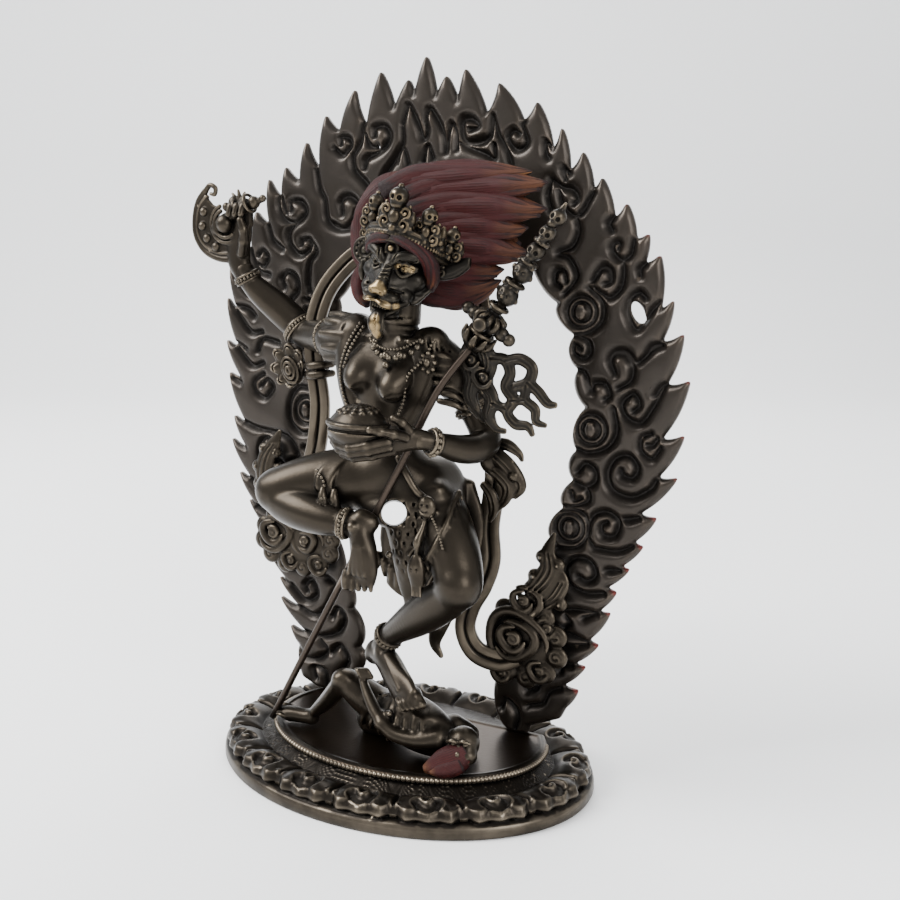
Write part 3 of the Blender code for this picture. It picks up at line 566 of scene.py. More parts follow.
def corpse():
    c = Clay((-46, -34, 10.6), (38, 6, 40), UNDERFOOT_STEP)
    c.bar(((-8, -5, 16, 6, 6), (-2, -7, 19, 7.5, 6.5), (6, -11, 21.6, 8.1, 7.8), (14, -13, 21, 8.6, 7.2),
           (21, -14, 19.4, 7, 5.6), (25, -14.5, 19, 4, 3.8), (30, -14, 18, 3, 3)), 1)
    for k in range(5):
        x = 7 + k * 3.1
        c.bar(((x, -21.2 + k * 0.3, 18, 0.6), (x - 0.8, -19.5, 24.5, 0.7),
               (x - 1, -15, 28.6 - k * 0.4, 0.6)), 0.9)
    c.blob(11, -17, 27.5, 3.2, 2.4, 1.6, blend=1.5)
    c.blob(18, -16.5, 26, 3.2, 2.6, 1.6, blend=1.5)
    c.bar(((-3, -8, 20.6, 6.4), (-9.5, -10.5, 26, 5.4), (-14.2, -12, 29.6, 4.3)), 1.5)
    c.bar(((-14.5, -12, 30, 3.8), (-17, -12, 27.6, 3.4), (-22, -12, 21.6, 2.9), (-27.4, -12, 16.4, 2.0),
           (-29, -12, 14.8, 2.0)), 1.2)
    c.bar(((-15.6, -15.2, 31.4, 1.0), (-21.6, -14.4, 23, 0.9), (-27, -13.6, 17, 0.7)), 1.2)
    c.blob(-15, -13.6, 31.2, 3.4, 2.8, 3, blend=1.4)
    c.bar(((-6, -14, 27, 0.9), (0, -17.4, 24.4, 1.0), (7, -20, 26, 0.8)), 1.2)
    c.bar(((-28.4, -12, 14.2, 2.5), (-32.5, -12.4, 14.2, 2.5), (-37, -13, 14.2, 2.6),
           (-39.5, -13.4, 14.4, 1.8)), 1)
    toes(c, (-32, -12, 14), (-39, -13.4, 14.6), (0.6, -2.3, -0.6), r=0.85, length=3.6, drop=(0, 0, 0.4))
    c.bar(((23, -17.6, 20.6, 3.6), (17, -20.4, 19.6, 2.6), (10, -21.4, 20.2, 2.3), (4.6, -20.8, 22.6, 2.3)),
          1.2)
    c.bar(((4.8, -20.6, 22.6, 2.3), (0.6, -19, 26, 2.1), (-3.4, -17, 30.4, 1.6), (-6, -15.4, 33.8, 1.3)), 1)
    for k in range(4):
        a = np.array((-5.6 + k * 0.9, -16.2 + k * 0.5, 34.4))
        c.bar(((*a, 0.8), (*(a + (-1.2, -0.3, 2)), 0.75), (*(a + (-2.4, 0.4, 2.2)), 0.6)), 0.25)
    c.bar(((24, -9, 21, 4), (27, -4, 17, 3.2), (20, 0, 14.5, 2.8), (8, 1.5, 13.6, 2.3), (2, 1, 13.4, 1.8)),
          1)
    # Loin cloth folds over the hips
    for k in range(6):
        c.bar(((-8 + k * 2.2, -12.4 - k * 0.9, 16.4, 0.5), (-6.6 + k * 2.1, -14.2 - k * 0.9, 20, 0.6),
               (-4 + k * 1.9, -10 - k * 0.8, 26.4 + k * 0.4, 0.5)), 0.8, cut=k % 2 == 1)
    # Head, thrown back over the beads
    c.blob(31, -16, 20, 5.2, 5, 5.2, roll=20, blend=1)
    c.blob(33.4, -18.4, 17.4, 3.4, 3, 3, blend=1)
    for x, y, z, r in ((29.6, -20.6, 20.8, 1.55), (33.6, -20.7, 21.4, 1.5)):
        c.blob(x, y, z, r, r, r * 0.85, blend=0.3, cut=True)
        c.blob(x, y + 1.2, z, r * 0.6, blend=0.2)
        c.bar(((x - 1.9, y + 0.3, z + 0.8, 0.5), (x, y - 0.5, z + 1.7, 0.6),
               (x + 1.9, y + 0.3, z + 1.0, 0.5)), 0.4)
    c.blob(31.9, -21.6, 18.6, 0.9, 0.9, 1.2, blend=0.3)
    for x in (31.5, 32.5):
        c.blob(x, -22.3, 17.9, 0.32, blend=0.1, cut=True)
    c.bar(((30.4, -20.4, 16.2, 0.6), (32.6, -21.6, 15.9, 0.7), (35, -20.4, 16.8, 0.6)), 0.2, cut=True)
    for k in range(5):
        c.blob(30.9 + k * 0.9, -20.9 - 0.5 * math.sin(k * 0.8), 16.4 + k * 0.1, 0.36, 0.4, 0.45, blend=0.1)
    c.blob(27.6, -16.4, 19.8, 0.9, 1.2, 1.6, blend=0.4)
    piece = cast("body_underfoot", c, FLESH_METAL, UNDERFOOT_TRIANGLES)
    finish_piece(piece, "worn_bronze")


corpse()

# Dancing figure: body, arms and legs cast as one in bronze with the waistcoat, the hanging skirt behind
# the legs, its trims, the bangles and the strings of beads; she stands on the body underfoot on one leg
FIGURE_STEP, FIGURE_TRIANGLES = 0.42, 150000
TORSO = (
    (5.2, -10, 92, 12.2, 8.6), (4.8, -10.5, 97, 12.6, 9), (4.4, -12, 104, 11.2, 8.8),
    (2.6, -13, 113.8, 7.9, 6.6),
    (2.2, -13, 122, 9.2, 7.2), (2.8, -12.5, 132, 12, 8.4), (3.4, -10.5, 139.5, 12.4, 6.6),
    (5.7, -10, 144.8, 6.6, 5.4),
    (7.6, -11.2, 150, 5.8, 5.4), (8.4, -12, 155, 5.6, 5.4),
)
RIGHT_ARM = (
    (-11, -10, 141.4, 6), (-18, -7.4, 142.2, 5.7), (-26, -3.8, 142, 5.4), (-33.4, -0.6, 142.2, 5.0),
    (-38.4, 0.8, 143.4, 5.0),
    (-42, 0.2, 147, 5.2), (-46.4, -1.2, 151, 5.0), (-51.2, -3.2, 155.4, 4.3), (-55, -5, 160, 3.4),
    (-56.6, -5, 163, 3.2),
)
LEFT_ARM = (
    (19.2, -8.4, 137.4, 5.8), (23.4, -7.2, 132.4, 5.7), (27.6, -6.2, 125.6, 4.9), (31.4, -5.8, 118.4, 4.5),
    (33.8, -7, 113.6, 4.6),
    (33.4, -12, 112, 4.5), (31, -18, 112.4, 4.2), (28.4, -24, 114.4, 3.4), (26.4, -27.4, 115.6, 2.8),
    (24, -29.4, 116.2, 2.8),
)
RIGHT_THIGH = (
    (5, -12, 99, 10.4), (-3, -14.6, 99.6, 10.2), (-11, -18.2, 99.4, 9.6), (-19, -22, 98.4, 8.4),
    (-26, -25, 96.8, 7.2),
    (-29.6, -26.2, 95.2, 6.4),
)
RIGHT_SHIN = (
    (-29, -26.4, 94.2, 6), (-24, -27.6, 92, 6.2), (-17, -29, 90.8, 6.2), (-9, -30, 89.6, 5.2),
    (-3, -30.2, 89, 3.9),
    (1.6, -29.4, 88.6, 3.3),
)
RIGHT_FOOT = (
    (3.2, -28.4, 90, 3.5), (3.6, -29.4, 86, 3.7), (5, -30.4, 81, 4.3, 3.4), (5, -30.6, 76.4, 4.8, 2.8),
    (4, -30, 72.6, 4.6, 2.1),
)
LEFT_THIGH = (
    (12.6, -9, 98, 10.2), (17.2, -10.6, 92.4, 9.9), (22.8, -13.6, 86.4, 9.2), (27.8, -16.8, 80.4, 8.3),
    (31, -19.4, 75, 7.4),
    (32, -21, 71.4, 6.4),
)
LEFT_SHIN = (
    (32.4, -21.4, 72, 6.3), (29, -20, 68.4, 6.2), (23.4, -18, 64, 6.5), (16, -15.6, 58.6, 6.1),
    (8.6, -13.4, 53.2, 4.8),
    (2.4, -11.4, 48.6, 3.6), (-1.4, -9.8, 44.6, 3.4),
)
LEFT_FOOT = (
    (-4.6, -8.4, 41.4, 3.5), (-2.4, -9.6, 40.8, 3.7), (2.4, -13, 40, 4.3, 3.6), (8, -17, 37, 4.9, 3.2),
    (12.8, -20.4, 34.8, 5.3, 2.5),
    (16, -22.6, 33.4, 4.6, 2),
)


def spaced(rows, gap):
    """Points along a smooth line, evenly apart."""
    p = curve(rows, 24)
    s = np.concatenate([[0], np.cumsum(np.linalg.norm(np.diff(p[:, :3], axis=0), axis=1))])
    at = np.linspace(0, s[-1], max(int(s[-1] / gap), 2))
    return np.stack([np.interp(at, s, p[:, k]) for k in range(p.shape[1])], 1)


BEADS = []


def string(rows, r, gap=None):
    for x, y, z in spaced([row[:3] for row in rows], gap or r * 1.9)[:, :3]:
        BEADS.append((x, y, z, r))


def hoop(centre, way, rx, ry=None):
    """Closed ring of points round an axis."""
    way = np.array(way, float) / np.linalg.norm(way)
    side = np.cross(way, (0, -1, 0))
    side /= np.linalg.norm(side)
    up = np.cross(side, way)
    a = np.linspace(0, 2 * math.pi, 25)
    return [tuple(np.array(centre) + side * rx * math.cos(v) + up * (ry or rx) * math.sin(v)) for v in a]


def cuff(clay, centre, way, r, beads=0.62):
    """Bangle: two rims with a row of beads between."""
    way = np.array(way, float) / np.linalg.norm(way)
    for k in (-0.95, 0.95):
        ring = hoop(np.array(centre) + way * k, way, r)
        clay.bar([(*p, 0.55) for p in ring], 0.2, steps=1)
    string(hoop(centre, way, r + 0.25), beads)


def figure():
    c = Clay((-62, -40, 27), (43, 4, 167), FIGURE_STEP)
    c.bar(TORSO, 1)
    for rows in RIGHT_ARM, LEFT_ARM, RIGHT_THIGH, LEFT_THIGH:
        c.bar(rows, 2.2)
    for rows in RIGHT_SHIN, LEFT_SHIN, RIGHT_FOOT, LEFT_FOOT:
        c.bar(rows, 1.2)
    c.blob(6, -16.8, 103.4, 8.6, 5.6, 7.6, blend=4)
    for x, y, z in ((-2.9, -17.6, 132.6), (9.6, -18.2, 130.4)):
        c.bar(((x + 0.4, y + 3, z + 4.4, 5.4, 4.2), (x + 0.1, y, z + 1.6, 5.6, 4.6),
               (x, y - 2.6, z - 0.8, 4.3),
               (x, y - 4.8, z - 2.2, 2.3), (x, y - 6.3, z - 3, 0.9)), 2.2)
    for x, y, z, r in ((-11.6, -9.6, 141.4, 6.4), (19, -8.4, 137, 6.1), (-30, -25.4, 96, 6),
                       (31.8, -20.6, 72.6, 6.4)):
        c.blob(x, y, z, r, blend=2)
    c.blob(-31, -28.6, 95.6, 3.4, 2.6, 3.6, blend=2)
    c.blob(33, -24, 72.8, 3.6, 2.8, 3.8, blend=2)
    c.blob(14, -2.4, 97, 10, 6.4, 9.4, blend=4)
    c.blob(-2, -3.4, 98, 9.4, 6.2, 9.2, blend=4)
    # Ankle bones and heels
    for x, y, z, r in ((2.4, -32.6, 88.8, 1.5), (5.6, -27.6, 89.4, 2.8), (-0.6, -13, 43.4, 1.5),
                       (-5.6, -8, 39.6, 3.4)):
        c.blob(x, y, z, r, blend=1.4)
    # Collar bones and throat folds
    c.bar(((2, -15.4, 143.4, 0.8), (-4, -14.8, 143.8, 1.0), (-9, -12.6, 144.4, 0.9)), 2.4)
    c.bar(((9.6, -15.2, 142.8, 0.8), (14, -13.8, 142.6, 1.0), (18, -11.2, 142.4, 0.9)), 2.4)
    for z in (147.2, 149.8):
        c.bar([(x, y, z + 0.15 * (x - 7), 0.35) for x, y, z in hoop((7, -11, z), (0.2, 0, 1), 5.6, 5.4)],
              0.5, cut=True, steps=1)
    # Toes and their tendons
    toes(c, (4.6, -30.8, 82), (3.6, -30.6, 72), (4.0, 0.6, -0.6), r=1.15, length=4.2, drop=(0, -0.5, 0.1))
    toes(c, (7, -17, 38), (15.6, -22.8, 33.6), (-2.6, -1.0, -1.2), r=1.25, length=4.6, drop=(0, 0.2, -0.5))
    for k in range(4):
        c.bar(((4.6 + (k - 1.5) * 0.9, -33.2, 83, 0.5), (3.8 + (k - 1.5) * 1.9, -32.6, 74.6, 0.6)), 0.8)
        c.bar(((3.4 - (k - 1.5) * 0.5, -14.6 - (k - 1.5) * 0.3, 43.2 - abs(k - 1.5) * 0.3, 0.5),
               (13.6 - (k - 1.5) * 1.2, -21.4 - (k - 1.5) * 0.6, 36.6 - (k - 1.5) * 0.5, 0.6)), 0.8)
    # Waistcoat: cap sleeves, fronts and their folds
    for rows in (((-9, -10, 143.6, 6.9), (-14, -8.8, 142, 7), (-18.6, -7.2, 141.4, 7.1)),
                 ((16.4, -9, 139.4, 6.6), (20.6, -8, 135.6, 6.8), (24, -7.2, 131.4, 6.9))):
        c.bar(rows, 0.4)
    c.bar(((-8, -11.5, 144, 6.2, 5.4), (-9, -13, 137, 5.4, 5.6), (-7.6, -14, 128, 5, 5.6),
           (-5.4, -14, 120, 4.6, 4.8)), 0.5)
    c.bar(((17, -10.5, 142, 6, 5.2), (16.6, -12, 135, 5.2, 5.4), (14.2, -13, 127, 5, 5.4),
           (10, -13.4, 119.6, 4.6, 4.8)), 0.5)
    for k in range(5):
        c.bar(((-10.5 - k * 2.1, -15.8 + k * 1.6, 147 - k * 0.8, 0.45),
               (-11.6 - k * 1.9, -16.2 + k * 1.5, 138, 0.5),
               (-11.4 - k * 1.2, -15 + k * 1.4, 134.6, 0.4)), 0.6, cut=True)
        c.bar(((18.6 + k * 1.7, -15 + k * 1.2, 144 - k * 1.4, 0.45),
               (20.6 + k * 1.5, -14.8 + k * 1.1, 134.4 - k, 0.5),
               (19.4 + k * 1.2, -14 + k * 1.1, 130 - k, 0.4)), 0.6, cut=True)
    # Waist cloth and the tiger skin hanging behind the legs
    c.bar(((-7.2, -14, 99, 4.2, 7), (-2, -18.4, 94.6, 4.4, 4.6), (6, -20.4, 92, 4.6, 4),
           (14, -18.4, 93.4, 4.6, 4.6),
           (20, -13, 97, 4.4, 6)), 1.4)
    c.bar(((4, -1.5, 96, 11, 3), (6, -2, 86, 12, 2), (6, -3, 76, 12.4, 1.5), (4, -4, 67, 9, 1.2),
           (1, -4, 61, 5, 1.0)), 1.2)
    c.bar(((20, 0, 96, 7, 3), (23, -1.6, 86, 7.6, 2.2), (22, -2, 74, 6.4, 1.5), (18, -1, 62, 5, 1.4),
           (14.6, -0.4, 52, 3.6, 1.2),
           (12, 0.4, 44, 2.2, 1.0), (14.4, 0.4, 39.6, 0.9, 0.8)), 1)
    for i in range(11):
        for j in range(9):
            x, z = -7.4 + i * 2.5 + (j % 2) * 1.2, 63.4 + j * 3.2
            if abs(x - 4.5) < 12.6 - max(0, 72 - z) * 0.75:
                c.bar(((x, -4.9 - 0.1 * j, z + 1.3, 0.3), (x + 0.5, -5.0, z, 0.36),
                       (x + 0.2, -4.6, z - 1.4, 0.22)), 0.5, cut=True)
    for k in range(9):
        x = -8 + k * 2.9
        c.bar(((x * 0.9 + 0.6, -4.2, 66 + abs(k - 3.4) * 1.7, 1.5),
               (x * 0.85 + 0.4, -4.4, 62.6 + abs(k - 3.4) * 2.1, 1.1),
               (x * 0.8, -4.2, 59.8 + abs(k - 3.4) * 2.3, 0.4)), 0.5)
    for rows in (((-5, -6, 92, 1.0), (-8, -6.2, 84, 0.9), (-9.4, -6, 74, 0.9), (-7, -5.6, 65, 0.7)),
                 ((14.6, -5.6, 92, 0.9), (17, -6, 84, 0.9), (17.4, -5.6, 74, 0.9), (12, -5, 63, 0.7))):
        c.bar(rows, 0.4)
    c.blob(3.2, -4, 88.2, 3.4, 9, 3.2, blend=0.8, cut=True)
    c.bar([(3.2 + 3.9 * math.cos(a), -5.6, 88.2 + 3.8 * math.sin(a), 0.55)
           for a in np.linspace(0, 2 * math.pi, 25)], 0.4, steps=1)
    for k in range(5):
        c.bar(((17 + k * 2, -3.6, 92, 0.45), (18 + k * 1.9, -4, 80, 0.5), (16.6 + k * 1.2, -3.4, 66, 0.45),
               (13.6 + k * 0.5, -1.6, 50, 0.35)), 0.6, cut=True)
    c.bar(((9, -15.6, 99, 8.4, 6), (12, -17.2, 92, 8.4, 5.6), (14.4, -19, 84, 7.2, 4.6),
           (14.4, -19.4, 76, 5.6, 3), (13.4, -18, 68, 3.8, 1.8),
           (12.4, -17, 63, 1.6, 1)), 1.0)
    for i in range(6):
        for j in range(10):
            x, z = 5.6 + i * 2.9 + (j % 2) * 1.4 + j * 0.1, 95 - j * 3.0
            y = -22.4 - 0.9 * math.sin(j * 0.45) + abs(x - 13) * 0.18
            if j < 4 or 9 < x < 19:
                c.blob(x, y, z, 0.34, 0.9, 0.62, blend=0.5, cut=True)
    for k in range(4):
        c.bar(((-4.6 - k * 1.6, -19.4 - k * 1.0, 108 - k * 0.5, 1.1),
               (-7.2 - k * 1.5, -24 - k * 0.9, 105 - k * 0.6, 1.35),
               (-8.4 - k * 1.2, -27.6 - k * 0.3, 100.6 - k * 0.4, 1.3),
               (-8 - k * 0.9, -28.6, 96.6 + k * 0.3, 0.8)), 0.4)
    for x, y, z in ((-9.4, -30.2, 98.6), (-6.4, -28.6, 98)):
        c.bar(((x, y, z, 0.9), (x + 0.1, y - 0.4, z - 2.4, 1.5), (x + 0.2, y, z - 5.6, 1.9),
               (x + 0.2, y, z - 6.4, 1.2)), 0.3)
        for k in range(4):
            c.bar(((x - 0.9 + k * 0.7, y - 1.5, z - 2.6, 0.18),
                   (x - 1.4 + k * 1.1, y - 1.9, z - 6.4, 0.22)), 0.2, cut=True)
    # Bone apron cords, a face pendant, a tasselled mask and paws down the front of the thigh
    for rows in (((12, -21.4, 108.6, 1.1), (15.4, -22.4, 104, 1.2), (18.2, -22, 99.6, 1.1),
                  (21, -21.4, 97.4, 1.0)),
                 ((21.6, -21.6, 93, 0.7), (21.4, -23.6, 89, 0.7), (20.6, -25.4, 85, 1.3),
                  (20.4, -25.6, 82, 0.7),
                  (20.2, -26, 79.6, 0.7)), ((20.3, -25.6, 80, 1.8, 1.2), (20.3, -25.8, 76.6, 2.9, 1.7),
                                            (20.2, -25, 72, 2.3, 1.4)),
                 ((24, -20, 93, 0.8), (21, -22.4, 86, 0.8),
                 (16.6, -23, 80, 0.8))):
        c.bar(rows, 0.4)
    c.blob(22.2, -22.6, 95, 2.9, 2.0, 3.5, blend=0.4)
    for x in (21.4, 23.1):
        c.blob(x, -24.2, 95.8, 0.42, blend=0.2, cut=True)
    c.blob(22.2, -24.2, 94.9, 0.4, 0.5, 0.7, blend=0.2)
    c.bar(((21.4, -24, 93.8, 0.25), (22.2, -24.4, 93.6, 0.25), (23, -24, 93.8, 0.25)), 0.2, cut=True)
    for x in (19.6, 21.0):
        c.blob(x, -27, 76.9, 0.4, blend=0.2, cut=True)
    for k in range(4):
        c.bar(((19 + k * 0.8, -25.6, 71.6, 0.5), (18.8 + k * 0.9, -25.4, 68.2, 0.42)), 0.2)
    # Opening between the raised foot, the belly and the standing thigh
    c.bar(((-3.7, 1.6, 85, 3.6), (3.3, -10, 88.3, 3.9), (16.4, -31.6, 94.5, 3.7)), 0.8, cut=True)
    # Hem of the tiger skin across the standing thigh, with a row of fur tufts
    hem = ((26.8, -11, 97.6, 0.9), (27.2, -15.5, 94.7, 1.0), (27.7, -20.2, 90.6, 1.0),
           (26.1, -24, 84.4, 1.0), (23.6, -24, 80.2, 1.0),
           (20.2, -22.4, 76, 0.9), (15, -19.5, 70.4, 0.7))
    c.bar(hem, 0.5)
    for x, y, z, r in curve(hem, 4)[::2]:
        c.bar(((x, y, z, 0.7), (x + 0.9, y - 0.3, z - 1.2, 0.5), (x + 1.3, y - 0.1, z - 2.3, 0.25)), 0.4)
    for j in range(8):
        t = j / 7
        x, y, z, r = 14 + 13.6 * t, -9.6 - 7.2 * t, 96 - 15.4 * t, 10.2 - 1.9 * t
        for k in range(6):
            a = math.radians(50 - 84 * t - k * 13 - 6 * (j % 2))
            c.bar(((x + r * math.sin(a), y - r * math.cos(a), z + 0.8, 0.28),
                   (x + r * math.sin(a), y - r * math.cos(a), z - 0.8, 0.34)), 0.5, cut=True)
    # Ragged shoulder of the waistcoat and its brooch
    for k in range(6):
        c.bar(((12.4 + k * 1.7, -15.4 + k * 1.1, 142.6 - k * 0.5, 1.1),
               (17 + k * 1.7, -13.8 + k * 1.2, 143 - k * 1.3, 1.3),
               (21.4 + k * 1.2, -12 + k * 1.1, 141.4 - k * 2, 0.9)), 0.4)
        c.bar(((19.6 + k * 0.5, -14.4, 139 - k * 2.7, 1.0), (23 + k * 0.7, -13.4, 138.6 - k * 2.8, 1.1),
               (26.4 + k * 0.6, -11.6, 136.4 - k * 2.8, 0.6)), 0.4)
    c.blob(19.8, -16.4, 137, 2.4, 1.4, 2.9, blend=0.4)
    for k in range(8):
        a = k * math.pi / 4
        c.blob(19.8 + 2.3 * math.cos(a), -17.2, 137 + 2.8 * math.sin(a), 0.7, blend=0.2)
    c.blob(19.8, -18, 137, 1.1, 0.8, 1.4, blend=0.15)
    # Flared flaps of the cap sleeve
    for k in range(11):
        a = k * 2 * math.pi / 11
        u, w = math.cos(a), math.sin(a)
        c.bar(((-11 + w * 0.6, -9.4 + u * 6.2, 142 + w * 6.4, 1.7),
               (-15.6, -7.8 + u * 7, 142 + w * 7.2, 1.7),
               (-19.4 - 0.8 * (k % 2), -6.6 + u * 7.5, 142 + w * 7.6, 1.1)), 0.5)
    # Bangles, armlets and anklets
    cuff(c, (-55.4, -5, 160.6), (-2, -1.4, 5), 3.9)
    cuff(c, (-38.8, 0.8, 144), (-3.4, 0, 3.2), 5.6)
    cuff(c, (-22, -5.6, 142), (-1, 0.5, 0), 5.9)
    cuff(c, (26.8, -26.8, 115.4), (-2.2, -4, 1.2), 3.5, beads=0.8)
    cuff(c, (29, -6, 122.8), (3.6, 0.6, -7), 5.2)
    cuff(c, (-1.6, -30.2, 88.9), (4.6, 0.6, -0.5), 4.2)
    cuff(c, (1.4, -11, 47.8), (-4, 1.4, -4.2), 4.2)
    for x, y, z in ((-22, -11.4, 142.6), (29.4, -11.6, 123.6)):
        for k in range(6):
            a = k * math.pi / 3
            c.blob(x + 1.7 * math.cos(a), y + 0.2, z + 2.1 * math.sin(a), 0.95, 0.7, 0.95, blend=0.3)
        c.blob(x, y - 0.4, z, 1.1, 0.9, 1.1, blend=0.2)
    piece = cast("figure_cast", c, FLESH_METAL, FIGURE_TRIANGLES)
    finish_piece(piece, "worn_bronze", "dakini")
    # Bead work: waistcoat borders, necklaces, apron strings
    for rows in (((-4.6, -15.8, 147.6), (-7.4, -18.9, 141), (-8.9, -20.2, 134), (-8.6, -19.9, 127.4),
                  (-6.2, -19.6, 120)),
                 ((-3, -16.4, 146.6), (-5.6, -19.4, 140.6), (-7.0, -21.2, 135)),
                 ((20.4, -15.4, 143), (18.4, -17, 138), (14.6, -20.2, 133), (13.4, -20.6, 126),
                  (10.4, -20, 119.6))):
        string(rows, 0.58)
    string(((3, -16.8, 144.4), (2.2, -19.2, 141.6), (5, -20.8, 139.4), (8.6, -21.6, 138.4),
            (12.4, -21.2, 138.6),
            (16, -18.8, 140.4), (17, -16, 143)), 1.0, 2.1)
    string(((2.4, -16.4, 146.4), (1, -18.8, 143.4), (4.6, -20, 141.4), (8.6, -20.6, 140.6),
            (13, -19.8, 141.2), (17, -17, 143.6)), 0.5)
    string(((-12, -29.4, 104), (-9.4, -29.6, 100.6), (-9, -30.4, 97)), 0.6)
    string(((21, -22, 96), (26, -24, 90), (29, -25.4, 84)), 0.45)
    for x, y, z in ((3.2, -19.4, 141.4), (8, -21.6, 139), (12.8, -21.4, 139.2), (8.4, -22.4, 136.2),
                    (-8.8, -30.8, 96), (9.6, -23.4, 79)):
        BEADS.append((x, y, z, 1.15))
        BEADS.append((x, y - 0.9, z, 0.6))
    v, f = spheres(BEADS)
    beads = mesh_object("bead_work", v, f, BEAD_METAL)
    finish_piece(beads, "worn_bronze")


figure()

# Hands, skull cup and chopper: bronze, cast in one with the arms; the left hand holds the heaped cup
# before the chest, the right hand lifts the crescent chopper by the handle on its back
HAND_STEP, CUP_TRIANGLES, CHOPPER_TRIANGLES = 0.3, 28000, 32000


def finger(c, rows):
    c.bar(rows, 0.25)
    x, y, z, r = rows[-1][:4]
    c.blob(x, y, z, r * 1.02, blend=0.2)
    for row in rows[1:-1]:
        c.blob(row[0], row[1], row[2], row[3] * 1.12, blend=0.5)


def cup_hand():
    c = Clay((-5, -46, 107), (31, -22, 128), HAND_STEP)
    c.bar(((26.6, -27.2, 115.6, 2.7), (23.4, -29.6, 116.4, 3.1, 2.7), (19, -32.6, 116.6, 3.9, 2.5),
           (15, -35, 115.8, 3.7, 2.2)), 0.8)
    finger(c, ((21.4, -33.4, 117.4, 1.6), (19.6, -37, 118.6, 1.35), (17.2, -39.8, 119.6, 1.2),
               (14.8, -41.6, 120.2, 1.0)))
    for y, z in ((-39.8, 115.2), (-39, 113.5), (-37, 112)):
        finger(c, ((17.4, y + 3.4, z + 1.2, 1.5), (12.6, y, z, 1.35), (7, y - 0.6, z - 1.0, 1.25),
                   (2.4, y + 0.6, z - 0.4, 1.15),
                   (-0.2, y + 1.2, z + 1.6, 1.0)))
    finger(c, ((22, -32, 119, 1.5), (20.6, -33.6, 121.4, 1.3), (18.6, -35.2, 122.8, 1.05)))
    # Cup: bowl of a skull with a rolled rim and a curling heap in it
    c.blob(6.6, -35, 119.2, 9.2, 7.9, 6.2, blend=0.3)
    c.bar([(*p, 0.75) for p in hoop((6.8, -35, 120.4), (0.05, 0.05, 1), 9.1, 7.8)], 0.2, steps=1)
    c.bar([(*p, 0.4) for p in hoop((6.8, -35, 118.8), (0.05, 0.05, 1), 8.9, 7.6)], 0.3, steps=1, cut=True)
    c.blob(6.8, -35, 121.4, 7.9, 6.6, 4.2, blend=0.3)
    for i in range(5):
        for j in range(14):
            a = j * 2 * math.pi / 14 + i * 0.5
            r = 1 - i * 0.2
            c.blob(6.8 + 7.2 * r * math.cos(a), -35 + 6 * r * math.sin(a),
                   121.8 + 3.7 * math.sqrt(max(1 - r * r, 0)),
                   0.95, 0.95, 0.75, blend=0.25)
    finish_piece(cast("cup_and_hand", c, FLESH_METAL, CUP_TRIANGLES), "worn_bronze")


